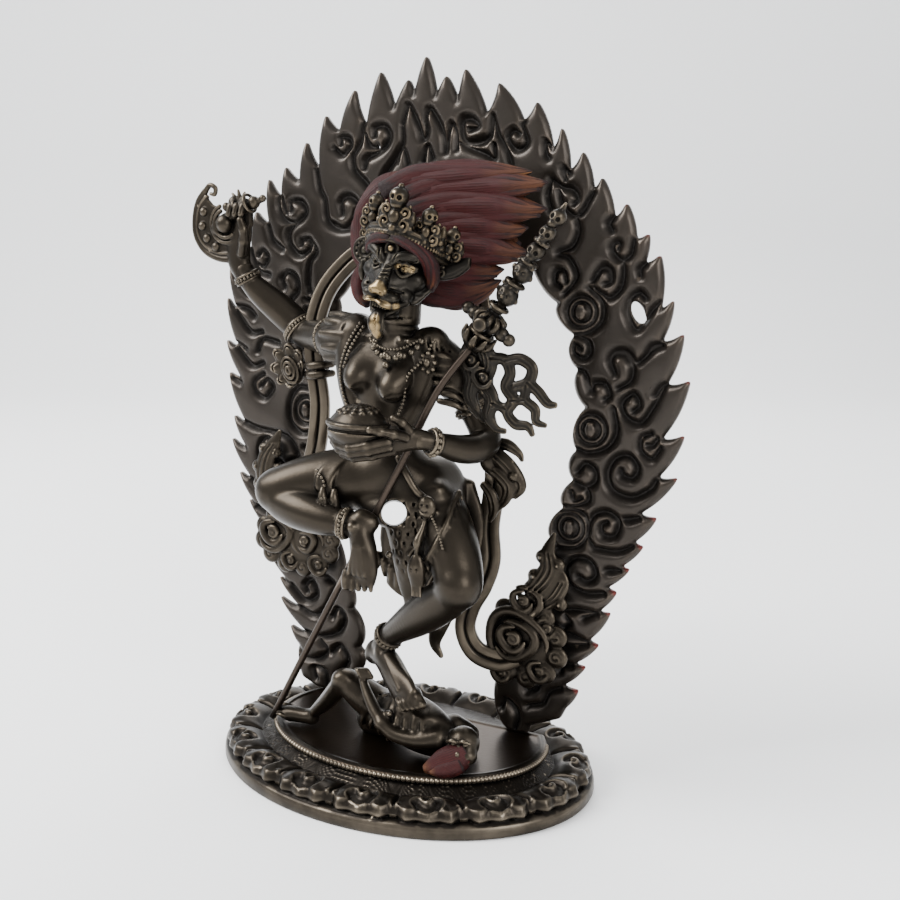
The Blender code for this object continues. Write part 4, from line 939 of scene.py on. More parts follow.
def knife_hand():
    c = Clay((-78, -14, 158), (-42, 1, 194), HAND_STEP)
    c.bar(((-56.8, -5, 161.6, 3.2), (-58.4, -5.2, 165.6, 4.1, 2.9), (-58.4, -5.4, 170, 4.4, 2.7),
           (-57, -5.8, 174.6, 4.2, 2.4),
           (-56, -5.8, 178, 3.6, 2.0)), 0.8)
    finger(c, ((-55.6, -7, 168.6, 1.8), (-53.4, -8.8, 172.4, 1.6), (-52.6, -9.8, 176, 1.4),
               (-53.4, -10.2, 179, 1.15)))
    for k in range(3):
        x = -58.4 + k * 2.5
        finger(c, ((x, -5.6, 178, 1.3), (x + 0.6, -6.4, 182.8, 1.25), (x + 0.9, -9.6, 183.4, 1.15),
                   (x + 0.6, -10.6, 181, 1.0)))
    # Blade: crescent with a double rim, an inner row of beads and a curled hook, then boss and handle
    arc = [(-70.6, 188.6), (-73.6, 185.2), (-75.2, 180), (-75, 174.4), (-71.8, 169.6), (-66.4, 167),
           (-60.6, 166.6), (-56.2, 168.6)]
    c.bar([(x, -6.6, z, 1.15, 0.95) for x, z in arc], 0.2)
    c.bar([(-66 + (x + 66) * 0.86, -6.6, 178 + (z - 178) * 0.84, 0.7, 1.1) for x, z in arc], 0.2)
    c.bar([(-66 + (x + 66) * 0.7, -6.4, 178 + (z - 178) * 0.66, 3.4, 0.8) for x, z in arc], 0.3)
    c.bar(((-69, -6.4, 184, 3.6, 0.7), (-70, -6.4, 178, 4, 0.8), (-66, -6.4, 174, 4.4, 0.8),
           (-60, -6.4, 172, 3, 0.7)), 0.3)
    for x, z in ((-70.8, 182), (-71.6, 177.4), (-69.8, 173.4), (-66.2, 170.6)):
        c.blob(x, -7.4, z, 1.5, 1.2, 1.5, blend=0.2)
    c.bar(((-70.6, -6.6, 188.6, 0.9), (-68.4, -6.6, 190.6, 0.85), (-66.2, -6.6, 189.6, 0.8),
           (-66.6, -6.6, 187.6, 0.7),
           (-68.2, -6.6, 187.8, 0.6)), 0.2)
    c.blob(-61.4, -8.6, 178, 2.9, 2.4, 3, blend=0.2)
    for r in (4.5, 6.2):
        c.bar([(-61.4 + r * math.cos(a), -8 + (r - 4.5) * 0.3, 178 + r * math.sin(a), 0.75)
               for a in np.linspace(2.0, 5.4, 18)], 0.2, steps=1)
    c.bar(((-66, -7, 176, 2.6, 1.6), (-62, -7.4, 179.6, 1.7), (-58, -7.6, 181, 1.6),
           (-53, -7.8, 183.4, 1.2), (-46, -7.8, 185.6, 1)), 0.3)
    for x, z, r in ((-60.6, 183.4, 1.5), (-57.4, 184.8, 2.0), (-53.2, 183.6, 2.5), (-49.4, 184.6, 2.1),
                    (-45.8, 185.8, 1.2)):
        c.blob(x, -8, z, r, r * 0.9, r, blend=0.2)
    for r, k in ((2.9, 0), (2.6, 1)):
        c.bar([(*p, 0.55) for p in hoop((-51.2 - k * 4.6, -8, 184.4 - k * 1.2), (3.4, 0, 1.2), r)], 0.15,
              steps=1)
    for dx, dz in ((-55.6, 188.6), (-58, 187.6), (-53, 187.8)):
        c.bar(((-54.6, -8, 184, 0.9), ((dx - 54.6) / 2, -8, (dz + 184) / 2, 0.8), (dx, -8, dz, 0.4)), 0.2)
    finish_piece(cast("chopper_and_hand", c, FLESH_METAL, CHOPPER_TRIANGLES), "worn_bronze")


cup_hand()
knife_hand()

# Lion head: bronze, cast on the neck and tipped a little sideways; three eyes under carved brows, a broad
# nose and lips with a hanging tongue picked out in gilt, a wheel at one ear and a swept leaf at the other
HEAD_STEP, HEAD_TRIANGLES, HEAD_ROLL = 0.25, 95000, 14
HEAD_AT = np.array((9.5, -13.5, 165.0))
HEAD_RIGHT = np.array((0.97, 0.0, -0.24))
HEAD_FRONT = np.array((0.0, -1.0, 0.0))
HEAD_UP = np.array((0.24, 0.0, 0.97))


def on_head(r, f, u):
    """Place beside, before and above the middle of the head."""
    return tuple(HEAD_AT + HEAD_RIGHT * r + HEAD_FRONT * f + HEAD_UP * u)


def head_rows(rows):
    return [(*on_head(*row[:3]), *row[3:]) for row in rows]


def curl(c, r, f, u, reach, thick, sense, turns, start):
    rows = []
    for i in range(15):
        t = i / 14
        a = math.radians(start) + sense * t * turns * 2 * math.pi
        w = reach * (1 - 0.8 * t)
        rows.append((*on_head(r + w * math.cos(a), f + 0.5 * t, u + w * math.sin(a)),
                     thick * (1 - 0.3 * t)))
    c.bar(rows, 0.2, steps=2)


HEAD_METAL = tinted(bronze("head_bronze", (0.0026, 0.0022, 0.0018), (0.0165, 0.0142, 0.0114),
                           (0.24, 0.20, 0.14), 0.7), (0.19, 0.135, 0.068), 0.27)


def lion_head():
    c = Clay((-11, -33, 142), (31, -1, 182), HEAD_STEP)

    def ball(r, f, u, rx, ry=None, rz=None, **more):
        c.blob(*on_head(r, f, u), rx, ry, rz, roll=HEAD_ROLL, **more)

    def bar(*rows, blend=0.4, **more):
        c.bar(head_rows(rows), blend, **more)

    ball(0, 0, 0.4, 9.4, 9.4, 10.4)
    ball(0.6, 5, -4, 8, 6.6, 6, blend=2)
    ball(1.4, 9, -5.4, 4.7, 4.4, 4.0, blend=1.6)
    for s in (-1, 1):
        ball(1.9 + s * 2.9, 12.6, -8.0, 3.1, 2.7, 2.0, blend=0.5)
        bar((1.9 + s * 0.5, 14.8, -9.8, 0.9), (1.9 + s * 2.6, 14.6, -10.4, 1.35),
            (1.9 + s * 5, 12, -10.1, 1.15),
            (1.9 + s * 7, 9, -8.9, 0.6), blend=0.3)
        ball(0.8 + s * 5.8, 7.6, -7.2, 2.8, 3, 2.6, blend=1)
        ball(0.6 + s * 7.2, 5, -2.6, 3.2, 3.2, 3, blend=1.2)
        # Eye in its lids, the brow above with a curled end
        ball(1.2 + s * 4.9, 8.8, 0.4, 2.5, 2.0, 1.7, blend=0.4, cut=True)
        ball(1.2 + s * 4.9, 8.3, 0.4, 1.9, 1.9, 1.5, blend=0.15)
        ball(1.1 + s * 4.7, 10.1, 0.3, 0.55, 0.5, 0.55, blend=0.1, cut=True)
        bar((1.2 + s * 2.2, 10.2, 0.0, 0.6), (1.2 + s * 4.6, 10.6, 2.0, 0.7),
            (1.2 + s * 7.6, 7.6, 1.2, 0.55), blend=0.3)
        bar((1.2 + s * 2.2, 10.2, -0.2, 0.5), (1.2 + s * 4.8, 10, -1.7, 0.6),
            (1.2 + s * 7.6, 7.6, 0.6, 0.5), blend=0.3)
        bar((1.2 + s * 1.3, 11.6, 1.2, 1.1), (1.2 + s * 3.6, 11.2, 3.6, 1.6), (1.2 + s * 7, 9.2, 4.4, 1.7),
            (1.2 + s * 9.6, 5.6, 3.4, 1.0), blend=0.4)
        for k in range(4):
            bar((1.2 + s * (2.4 + k * 1.7), 13 - k * 0.8, 1.6 + 0.9 * math.sin(0.6 + k * 0.8), 0.34),
                (1.2 + s * (3.4 + k * 1.8), 11.6 - k, 6.0 - k * 0.2, 0.3), blend=0.2, cut=True)
        curl(c, 1.0 + s * 10, 4.4, 4.6, 2.0, 0.75, s, 1.2, 270)
        # Nostril, brow and whisker lines, fangs
        ball(2 + s * 1.6, 15, -6.5, 1.6, 1.3, 1.3, blend=0.4)
        ball(2 + s * 1.6, 16.1, -7.1, 0.6, 0.9, 0.5, blend=0.25, cut=True)
        for k in range(3):
            bar((1.2 + s * (3.4 + k * 1.6), 11.2 - k * 0.6, 1.6, 0.26),
                (1.2 + s * (4 + k * 1.6), 11 - k * 0.6, -0.6, 0.26), blend=0.15, cut=True)
        for k in range(3):
            bar((1.2 + s * 3.2, 12.6 - 0.2 * k, -3.6 - k * 1.1, 0.25),
                (1.2 + s * 6.2, 9.8, -3.2 - k * 1.5, 0.3),
                blend=0.3, cut=True)
        bar((1.2 + s * 3.2, 12.2, -9.2, 0.75), (1.2 + s * 3.4, 12.4, -11, 0.5),
            (1.2 + s * 3.1, 12.2, -12.4, 0.2), blend=0.15)
        bar((1.2 + s * 2.5, 10.6, -13.4, 0.6), (1.2 + s * 2.6, 10.9, -12, 0.4),
            (1.2 + s * 2.5, 11, -11, 0.2), blend=0.15)
        # Tuft of fur at the corner of the jaw
        for k in range(4):
            bar((1 + s * (6.6 + k * 0.4), 7.4 - k * 1.4, -8.6 + k * 1.2, 1.0),
                (1 + s * (8.4 + k * 0.6), 5.6 - k * 1.5, -8.4 + k * 1.5, 0.9),
                (1 + s * (9.8 + k * 0.5), 3.8 - k * 1.4, -6.6 + k * 1.7, 0.4), blend=0.5)
        # Ear
        ball(0.6 + s * 10.6, -1.4, 3.4, 2.1, 2.2, 3.6, blend=0.8)
        ball(0.6 + s * 11.2, 0.4, 3.4, 0.9, 1.3, 2.3, blend=0.4, cut=True)
    # Ear ornament: a lotus wheel on her right, on her left a long leaf swept back over the hair
    leaf = ((11.4, 0.6, 0.2, 1.4, 1.2), (13.6, 0, 1.2, 2.3, 1.3), (16.4, -0.8, 3, 2.6, 1.3),
            (19.2, -1.4, 5.2, 1.9, 1.1), (21, -1.8, 7, 0.7, 0.7))
    bar(*leaf, blend=0.3)
    for off in (-0.5, 0.5):
        bar(*((r + off * w * 0.5, f + 1.3, u - off * w, 0.32) for r, f, u, w, _ in leaf[:4]), blend=0.2,
            cut=True)
    curl(c, 14, 1.6, 1.4, 1.5, 0.5, 1, 1.2, 90)
    er, ef, eu = -13.0, 1.4, 1.4
    for reach, thick in ((3.6, 0.7), (2.2, 0.6)):
        c.bar([(*on_head(er + reach * math.cos(a), ef, eu + reach * math.sin(a)), thick)
               for a in np.linspace(0, 2 * math.pi, 25)], 0.15, steps=1)
    ball(er, ef - 0.4, eu, 3.4, 0.7, 3.4, blend=0.1)
    ball(er, ef + 0.2, eu, 1.2, 1.1, 1.2, blend=0.1)
    for k in range(10):
        a = k * math.pi / 5
        ball(er + 2.9 * math.cos(a), ef + 0.3, eu + 2.9 * math.sin(a), 0.55, blend=0.1)
    bar((er, ef, eu - 3.4, 0.9), (er + 0.4, ef + 0.2, eu - 6.2, 1.2), (er + 1, ef + 0.4, eu - 8.4, 0.6),
        blend=0.3)
    # Nose bridge with its folds, third eye, closed mouth, lower jaw and tongue
    bar((1.4, 9.6, 3.2, 1.6), (1.5, 11.8, -0.8, 1.6), (1.9, 14, -5, 2.0), blend=0.8)
    for k in range(4):
        bar((-0.7, 11.6 + k * 0.6, 0.6 - k * 1.15, 0.25), (1.3, 13.3 + k * 0.6, 0.2 - k * 1.15, 0.28),
            (3.3, 11.6 + k * 0.6, 0.6 - k * 1.15, 0.25), blend=0.25, cut=True)
    ball(2, 14.7, -6, 2.6, 1.7, 1.7, blend=0.4)
    ball(1.4, 9.8, 5.4, 2.3, 1.4, 2.3, blend=0.3)
    ball(1.4, 11, 5.4, 1.2, 1.1, 1.2, blend=0.1)
    c.bar([(*on_head(1.4 + 2.0 * math.cos(a), 10.7, 5.4 + 2.0 * math.sin(a)), 0.5)
           for a in np.linspace(0, 2 * math.pi, 17)],
          0.1, steps=1)
    ball(1.3, 12.2, -11.4, 4.9, 5, 2.0, blend=0.5, cut=True)
    ball(1.4, 7.4, -10.8, 4.4, 3.4, 3, blend=0.4)
    ball(1.4, 7.6, -13.6, 4.4, 3.9, 2.1, blend=0.6)
    bar((-3, 8.4, -11.6, 0.7), (-1.4, 10.4, -12.8, 0.75), (1.4, 11.2, -13.3, 0.75),
        (4.2, 10.4, -12.8, 0.75),
        (5.6, 8.4, -11.6, 0.7), blend=0.3)
    for k in range(6):
        bar((-0.2 + k * 0.85, 12.4, -10.4, 0.36), (-0.2 + k * 0.85, 12.5, -11.6, 0.3), blend=0.1)
    bar((1.6, 8.6, -12, 1.8, 0.9), (2, 12, -13, 2.0, 0.9), (2.3, 13.4, -15.4, 2.7, 0.9),
        (2.8, 13.2, -17.6, 2.6, 0.9),
        (3.4, 12.6, -19.6, 1.4, 0.7), (3.8, 12.2, -20.6, 0.6, 0.5), blend=0.2)
    bar((2.1, 13.2, -13.6, 0.3), (2.5, 14.2, -16.2, 0.34), (3.1, 13.8, -18.6, 0.2), blend=0.2, cut=True)
    head = cast("lion_head", c, HEAD_METAL, HEAD_TRIANGLES)
    tint(head, [(*on_head(*p), reach) for *p, reach in (
        (2, 16, -6, 2.3), (3.6, 15.2, -6.2, 1.4), (0.4, 15.2, -6.2, 1.4), (-0.4, 15.2, -10.3, 1.5),
        (1.2, 15, -10, 1.0), (3, 15.2, -10.3, 1.4),
        (5, 14.4, -10.4, 1.6), (7, 12.4, -10, 1.3), (-2.4, 13.6, -10.2, 1.4), (2.3, 14.4, -15, 1.5),
        (2.6, 14.4, -17, 1.8),
        (3.3, 13.6, -19.2, 1.5), (1.4, 12.4, 5.4, 0.9), (4.6, 10.8, 1.2, 1.2), (6.4, 10.2, 0.9, 1.2),
        (8, 9, 0.9, 1.0),
        (6.2, 10.8, 4.8, 0.6))])
    finish_piece(head, "worn_bronze")


lion_head()

# Crown: bronze, cast in one with the head; a band of three ropes over the brow carries five scrolled
# leaves, each topped with a little skull, and four buds between them
SKULL_METAL = bronze("crown_bronze", (0.003, 0.0024, 0.002), (0.0185, 0.0158, 0.0122), (0.46, 0.34, 0.20),
                     0.72)
CROWN_STEP, CROWN_TRIANGLES = 0.27, 65000
# Middle of each skull beside, before and above the middle of the head, and its size
CROWN = ((-12.4, 0.6, 11.6, 0.85), (-8.6, 7.0, 16.6, 0.95), (1.2, 11.6, 20.0, 1.15),
         (10.0, 7.8, 16.6, 0.95), (14.6, 0.2, 12.4, 0.85))


def crown():
    c = Clay((-12, -30, 165), (34, -5, 192), CROWN_STEP)
    band = [(-12.4, -1, 3.6), (-11.2, 4, 5.6), (-7.6, 8.8, 7.8), (-2.6, 11.4, 9), (2.6, 11.9, 9.2),
            (7.4, 10.4, 8.6), (11.4, 6.8, 7.2),
            (13.4, 2.2, 5.8), (14, -2, 4.6)]
    for du, w in ((-1.3, 0.85), (0.5, 0.95), (2.3, 0.85)):
        c.bar([(*on_head(r, f + 0.2, u + du), w) for r, f, u in band], 0.3)
    for x, y, z in spaced([on_head(r, f + 1.1, u + 0.5) for r, f, u in band], 1.0):
        c.bar(((x - 0.5, y - 0.2, z - 0.9, 0.22), (x + 0.5, y - 0.2, z + 0.9, 0.22)), 0.15, cut=True,
              steps=1)
    for r, f, u, s in CROWN:
        foot = u - 9.4 * s
        c.blob(*on_head(r * 0.97, f - 0.6, u - 5 * s), 2.9 * s, 1.6 * s, 4.4 * s, roll=HEAD_ROLL, blend=0.4)
        for side in (-1, 1):
            for up, reach in ((-6.4, 1.7), (-3.4, 1.5)):
                curl(c, r + side * 2.6 * s, f + 0.5, u + up * s, reach * s, 0.55, side, 1.2, 270)
            c.bar(head_rows(((r + side * 1.2 * s, f, foot + 1, 0.7),
                             (r + side * 3.9 * s, f - 0.2, foot + 3.4, 0.75),
                             (r + side * 3.4 * s, f, u - 1.8 * s, 0.5))), 0.3)
        c.blob(*on_head(r, f + 1.2, u - 4.8 * s), 1.5 * s, 1.2 * s, 1.8 * s, roll=HEAD_ROLL, blend=0.2)
        c.blob(*on_head(r, f + 1.0, u - 7.6 * s), 1.1 * s, 1.0 * s, 1.1 * s, roll=HEAD_ROLL, blend=0.2)
        # Skull: round top and jaw, two sockets, nose hole, small ball above
        c.blob(*on_head(r, f + 0.4, u), 2.5 * s, 2.4 * s, 2.4 * s, roll=HEAD_ROLL, blend=0.2)
        c.blob(*on_head(r, f + 1.1, u - 1.8 * s), 1.7 * s, 1.5 * s, 1.2 * s, roll=HEAD_ROLL, blend=0.4)
        out = np.array((r, f)) / (math.hypot(r, f) + 1e-6)
        for side in (-1, 1):
            c.blob(*on_head(r + out[0] * 1.9 * s + side * out[1] * 0.95 * s,
                            f + 0.4 + out[1] * 2.1 * s - side * out[0] * 0.95 * s,
                            u - 0.1), 0.62 * s, 0.7 * s, 0.62 * s, blend=0.15, cut=True)
        c.blob(*on_head(r + out[0] * 2.3 * s, f + 0.5 + out[1] * 2.4 * s, u - 1.2 * s), 0.35, blend=0.1,
               cut=True)
        c.blob(*on_head(r, f + 0.4, u + 2.5 * s), 0.8 * s, blend=0.2)
    for r, f, u in ((-4.4, 10.2, 15), (6, 10.8, 14.6), (-11.4, 4.4, 12), (13.2, 4.6, 12.4)):
        c.bar(head_rows(((r, f - 0.4, u - 4, 1.2), (r, f, u - 1.4, 1.0), (r, f, u, 1.25),
                         (r, f, u + 1.6, 0.6))), 0.3)
        c.blob(*on_head(r, f + 0.6, u - 2.6), 1.1, blend=0.2)
    finish_piece(cast("crown_cast", c, SKULL_METAL, CROWN_TRIANGLES), "worn_bronze")


crown()

# Hair: cast with the head and swept up and back in flame locks combed with fine strands, then painted
# maroon with ochre rubbed over the tips; the hair of the body underfoot is painted the same way
def hair_paint():
    mat = bpy.data.materials.new("hair_paint")
    mat.use_nodes = True
    t = mat.node_tree
    s = t.nodes["Principled BSDF"]
    uv = node(t, 'ShaderNodeUVMap', uv_map="comb").outputs[0]
    split = node(t, 'ShaderNodeSeparateXYZ', {0: uv})
    where = node(t, 'ShaderNodeTexCoord').outputs["Object"]
    streak = node(t, 'ShaderNodeMapping', {"Vector": uv, "Scale": (34.0, 2.2, 1.0)}).outputs[0]
    streak = node(t, 'ShaderNodeTexNoise', {"Vector": streak, "Scale": 3.0, "Detail": 6.0,
                                            "Roughness": 0.7}).outputs[0]
    mottle = node(t, 'ShaderNodeTexNoise', {"Vector": where, "Scale": 120.0, "Detail": 4.0}).outputs[0]
    high = node(t, 'ShaderNodeNewGeometry').outputs["Pointiness"]
    ridge = node(t, 'ShaderNodeMapRange', {"Value": high, "From Min": 0.47, "From Max": 0.55}).outputs[0]
    red = ramp(t, ridge, (0.0, (0.007, 0.0012, 0.0012)), (0.42, (0.033, 0.0036, 0.0036)),
               (1.0, (0.058, 0.0090, 0.0070)))
    tips = node(t, 'ShaderNodeMapRange', {"Value": split.outputs[1], "From Min": 0.55,
                                          "From Max": 1.0}).outputs[0]
    dry = node(t, 'ShaderNodeMath', {0: streak, 1: tips}, operation='MULTIPLY').outputs[0]
    dry = node(t, 'ShaderNodeMapRange', {"Value": dry, "From Min": 0.16, "From Max": 0.46}).outputs[0]
    dry = node(t, 'ShaderNodeMath', {0: dry, 1: ridge}, operation='MULTIPLY').outputs[0]
    spot = node(t, 'ShaderNodeMapRange', {"Value": streak, "From Min": 0.60, "From Max": 0.74,
                                          "To Max": 0.35}).outputs[0]
    dry = node(t, 'ShaderNodeMath', {0: dry, 1: spot}, operation='MAXIMUM').outputs[0]
    mix = node(t, 'ShaderNodeMix', {"Factor": dry, 6: red, 7: (0.17, 0.078, 0.028, 1)},
               data_type='RGBA').outputs[2]
    t.links.new(mix, s.inputs["Base Color"])
    rough = node(t, 'ShaderNodeMapRange', {"Value": mottle, "To Min": 0.52, "To Max": 0.74}).outputs[0]
    t.links.new(rough, s.inputs["Roughness"])
    bump = node(t, 'ShaderNodeBump', {"Height": streak, "Strength": 0.35, "Distance": 0.0005})
    t.links.new(bump.outputs[0], s.inputs["Normal"])
    s.inputs["Specular IOR Level"].default_value = 0.22
    return mat


def lock(rows, ribs, around, steps, deep, twist=1.2):
    """Swept tube with combed ribs, closed at both ends; returns points, quads and comb places."""
    rows = [tuple(r) + (r[3],) if len(r) == 4 else tuple(r) for r in rows]
    p = curve(rows, steps)
    p[:, 3:] = np.maximum(p[:, 3:], 0.1)
    way = np.gradient(p[:, :3], axis=0)
    way /= np.linalg.norm(way, axis=1)[:, None]
    side = np.cross(way, (0.0, -1.0, 0.0))
    side /= np.linalg.norm(side, axis=1)[:, None]
    deepway = np.cross(side, way)
    along = np.linspace(0, 1, len(p))[:, None]
    a = (np.arange(around) * 2 * math.pi / around)[None, :]
    comb = (1 - deep * np.abs(np.sin(0.5 * (a * ribs + twist * 6 * along))) ** 0.6
            - 0.05 * np.sin(a * 5 + along * 3))
    u = np.cos(a) * comb * p[:, 3:4]
    v = np.sin(a) * comb * p[:, 4:5]
    pts = p[:, None, :3] + u[..., None] * side[:, None] + v[..., None] * deepway[:, None]
    n = len(p)
    verts = np.vstack([pts.reshape(-1, 3), p[:1, :3] - way[:1] * p[0, 3] * 0.4,
                       p[-1:, :3] + way[-1:] * 0.4])
    i, j = np.meshgrid(np.arange(n - 1), np.arange(around), indexing="ij")
    k = (j + 1) % around
    quads = np.stack([i * around + j, i * around + k, (i + 1) * around + k, (i + 1) * around + j],
                     -1).reshape(-1, 4)
    j = np.arange(0, around, 2)
    caps = [np.stack([(j + 2) % around, j + 1, j, np.full(len(j), n * around)], 1),
            np.stack([j, j + 1, (j + 2) % around, np.full(len(j), n * around + 1)], 1)
            + [[(n - 1) * around] * 3 + [0]]]
    place = np.vstack([np.stack([np.broadcast_to(np.abs(a / math.pi - 1), (n, around)),
                                 np.broadcast_to(along, (n, around))],
                                -1).reshape(-1, 2), [[0.5, 0], [0.5, 1]]])
    return verts, np.vstack([quads] + caps), place


def joined(parts):
    """One set of points and quads from several."""
    starts = np.cumsum([0] + [len(part[0]) for part in parts])
    quads = [part[1] + n for part, n in zip(parts, starts)]
    return np.vstack([part[0] for part in parts]), np.vstack(quads)


def combed(name, parts, mat):
    """Mesh of several locks with their comb places in one layer."""
    obj = mesh_object(name, *joined(parts), mat)
    places = np.vstack([part[2] for part in parts])
    layer = obj.data.uv_layers.new(name="comb")
    index = np.empty(len(obj.data.loops), np.int32)
    obj.data.loops.foreach_get("vertex_index", index)
    layer.data.foreach_set("uv", places[index].astype(np.float32).ravel())
    return obj


HAIR_PAINT = hair_paint()
HAIR_TRIANGLES = 90000
LONG_LOCKS = 7
# Widening of each lock from root to tip
SWELL = (1.0, 1.0, 1.06, 1.26, 1.22, 0.35)
LOCKS = (
    ((-3, -3, 176, 6, 6), (0, -4, 183, 6.6, 7), (9.3, -1, 188.4, 6, 6.6), (24.1, 1, 190, 4.6, 5),
     (34, 1, 190.8, 3, 3.2), (42, 1, 190.4, 1.2)),
    ((2, -3, 176, 6, 7), (6, -3, 181, 6.6, 8), (16, 0, 186, 5.6, 6.4), (31, 1, 187.2, 4.2, 4.4),
     (40, 0.5, 187.6, 3.0, 3.2), (47.4, 0, 187.2, 1.2)),
    ((4, -4, 174, 7, 8), (8, -3, 177, 7, 8.6), (19, 0, 181, 5.8, 7), (33, 1, 181.6, 4.6, 5),
     (41, 0.5, 181, 3.1, 3.3), (47.4, 0, 179.8, 1.2)),
    ((5, -3, 171, 7, 9), (10, -2, 173, 6.8, 8.8), (21, 0, 175.6, 5.6, 7), (31, 1, 176, 4.2, 5),
     (37, 0.5, 175.4, 3.0, 3.2), (41.4, 0, 174.6, 1.2)),
    ((6, -2, 168, 7, 9), (11, -1, 169, 6.8, 9), (20, 0, 170, 5.8, 7), (31, 1, 169.8, 4.2, 5),
     (37, 0.5, 168.8, 3.0, 3.2), (42.4, 0, 167.2, 1.2)),
    ((6, -2, 165.4, 6, 8), (10, -1, 165.4, 6.4, 8), (17, 0, 164.6, 5.4, 6.6), (25, 1, 163.8, 4, 4.6),
     (30, 0.5, 163.2, 2.8, 3.0), (33.8, 0, 162.6, 1.2)),
    ((2, -1, 164, 6, 7), (7, 0, 161, 6.2, 7), (14, 0, 158.2, 5.8, 6.4), (21.5, 0.6, 157, 4.6, 4.8),
     (27.5, 0.4, 157.6, 3.2, 3.4), (33, 0, 159.4, 1.2)),
    ((-7, -2, 168, 5, 7), (-8.6, -2, 175, 5, 7), (-8, -2, 181.4, 5, 6), (-3, -1, 186.6, 4.6, 5),
     (3, 0, 190, 3, 3.6), (9, 0, 192.6, 0.8)),
    ((-6, -1, 164, 5.6, 7), (-10.6, -1, 168.6, 5, 6), (-12.6, -1, 174, 3.6, 4.4), (-12.4, -1, 178, 2.6, 3),
     (-10, -1, 183, 1, 1)),
    ((-6.4, -6, 165.4, 3, 4), (-9.4, -7, 160.4, 3, 3.6), (-8.6, -8, 155.6, 2.4, 2.6),
     (-6, -9, 152.4, 0.7, 0.7)),
    ((8, 2, 170, 9, 6), (12, 4, 178, 9, 5), (22, 4.4, 184, 7, 4), (34, 3, 185, 3.4, 2.4),
     (41, 2, 184, 0.8)),
    ((6, 2, 164, 8, 6), (12, 4, 166, 8, 5), (22, 4, 168, 6, 3.6), (33, 3, 172, 3.4, 2.2),
     (40, 2, 171, 0.8)),
)


def hair():
    parts = []
    for rows in LOCKS:
        full = [(x + max(k - 4, 0) * 2, y, z + max(k - 4, 0) * 1.2, *(w * SWELL[k] for w in wide))
                for k, (x, y, z, *wide) in enumerate(rows)]
        parts.append(lock(full, 46, 138, 14, 0.04))
    # Finer strands laid on the front of the long locks
    fine = []
    for rows in LOCKS[:LONG_LOCKS]:
        for s in (-1, 1):
            fine.append([(x, y - w[1] * 0.72 if len(w) > 1 else y - 0.4, z + s * w[0] * 0.52,
                          max(w[0] * 0.5, 0.3), max(w[-1] * 0.34, 0.3)) for x, y, z, *w in rows[1:]])
    parts += [lock(rows, 18, 60, 8, 0.05) for rows in fine]
    # Two combed arches over the brow under the crown band
    for rows in (((-9.4, 5.6, 2.4, 1.2), (-6.6, 9.4, 5.4, 1.7), (-3, 11.2, 7.6, 1.9),
                  (0.8, 11.6, 8.4, 1.7)),
                 ((1.4, 11.6, 8.6, 1.7), (5, 11.3, 8.4, 1.9), (9.2, 9, 6.6, 2.2), (11.6, 5.8, 3.6, 2.6),
                  (11.8, 2.6, -0.6, 2.4),
                  (10.8, 0.6, -4.6, 1.4))):
        parts.append(lock(head_rows(rows), 10, 40, 8, 0.14))
    finish_piece(thin(combed("hair_locks", parts, HAIR_PAINT), HAIR_TRIANGLES), "copper_brown")
    # Hair of the body underfoot, fanned over the edge of the plate
    fan = [lock(rows, 40, 120, 12, 0.04) for rows in (
        ((33.6, -18.4, 18.6, 3.4, 2.6), (31, -20.4, 16.8, 4.6, 2.8), (27.6, -22, 15.2, 4.6, 2.6),
         (24, -23.4, 13.6, 2.9, 1.8),
         (21.6, -24, 12.8, 1.1, 0.9)),
        ((33, -21, 15.6, 2.6, 2.2), (30, -22.8, 14.2, 2.8, 2), (26.8, -24, 13.2, 2.1, 1.6),
         (24, -24.6, 12.6, 0.8, 0.8)))]
    finish_piece(combed("hair_underfoot", fan, HAIR_PAINT), "copper_brown")


hair()

# Scarf: a bronze band cast with the figure, two raised strips with a sunk middle; it runs from behind
# the head down both sides, with a rosette at one elbow and a bow at the other
SCARF_FACE = (0.25, -1.0, 0.1)
KNOT_STEP, ROSETTE_TRIANGLES, BOW_TRIANGLES = 0.33, 18000, 14000


def ribbon(rows):
    """Points and quads of a band with its fluted side turned to the front."""
    p = curve(rows, 14)
    section = np.array([(-1, -0.3), (-1, 0.45), (-0.95, 0.78), (-0.82, 0.9), (-0.3, 1), (-0.12, 0.88),
                        (-0.05, 0.45),
                        (0.05, 0.45), (0.12, 0.88), (0.3, 1), (0.82, 0.9), (0.95, 0.78), (1, 0.45),
                        (1, -0.3), (0.8, -0.8),
                        (0.2, -1), (-0.2, -1), (-0.8, -0.8)])
    way = np.gradient(p[:, :3], axis=0)
    way /= np.linalg.norm(way, axis=1)[:, None]
    side = np.cross(way, SCARF_FACE)
    side /= np.linalg.norm(side, axis=1)[:, None]
    front = np.cross(side, way)
    front *= np.sign((front @ np.array(SCARF_FACE))[:, None])
    pts = (p[:, None, :3] + (section[None, :, :1] * p[:, 3][:, None, None]) * side[:, None]
           + (section[None, :, 1:] * p[:, 4][:, None, None]) * front[:, None])
    n, m = len(p), len(section)
    i, j = np.meshgrid(np.arange(n - 1), np.arange(m), indexing="ij")
    k = (j + 1) % m
    quads = np.stack([i * m + j, i * m + k, (i + 1) * m + k, (i + 1) * m + j], -1).reshape(-1, 4)
    if np.dot(np.cross(side[0], front[0]), way[0]) > 0:
        quads = quads[:, ::-1]
    half = [(q, q + 1, m - 2 - q, m - 1 - q) for q in range(m // 2 - 1)]
    caps = np.array(half + [tuple((n - 1) * m + x for x in q[::-1]) for q in half])
    return pts.reshape(-1, 3), np.vstack([quads, caps])


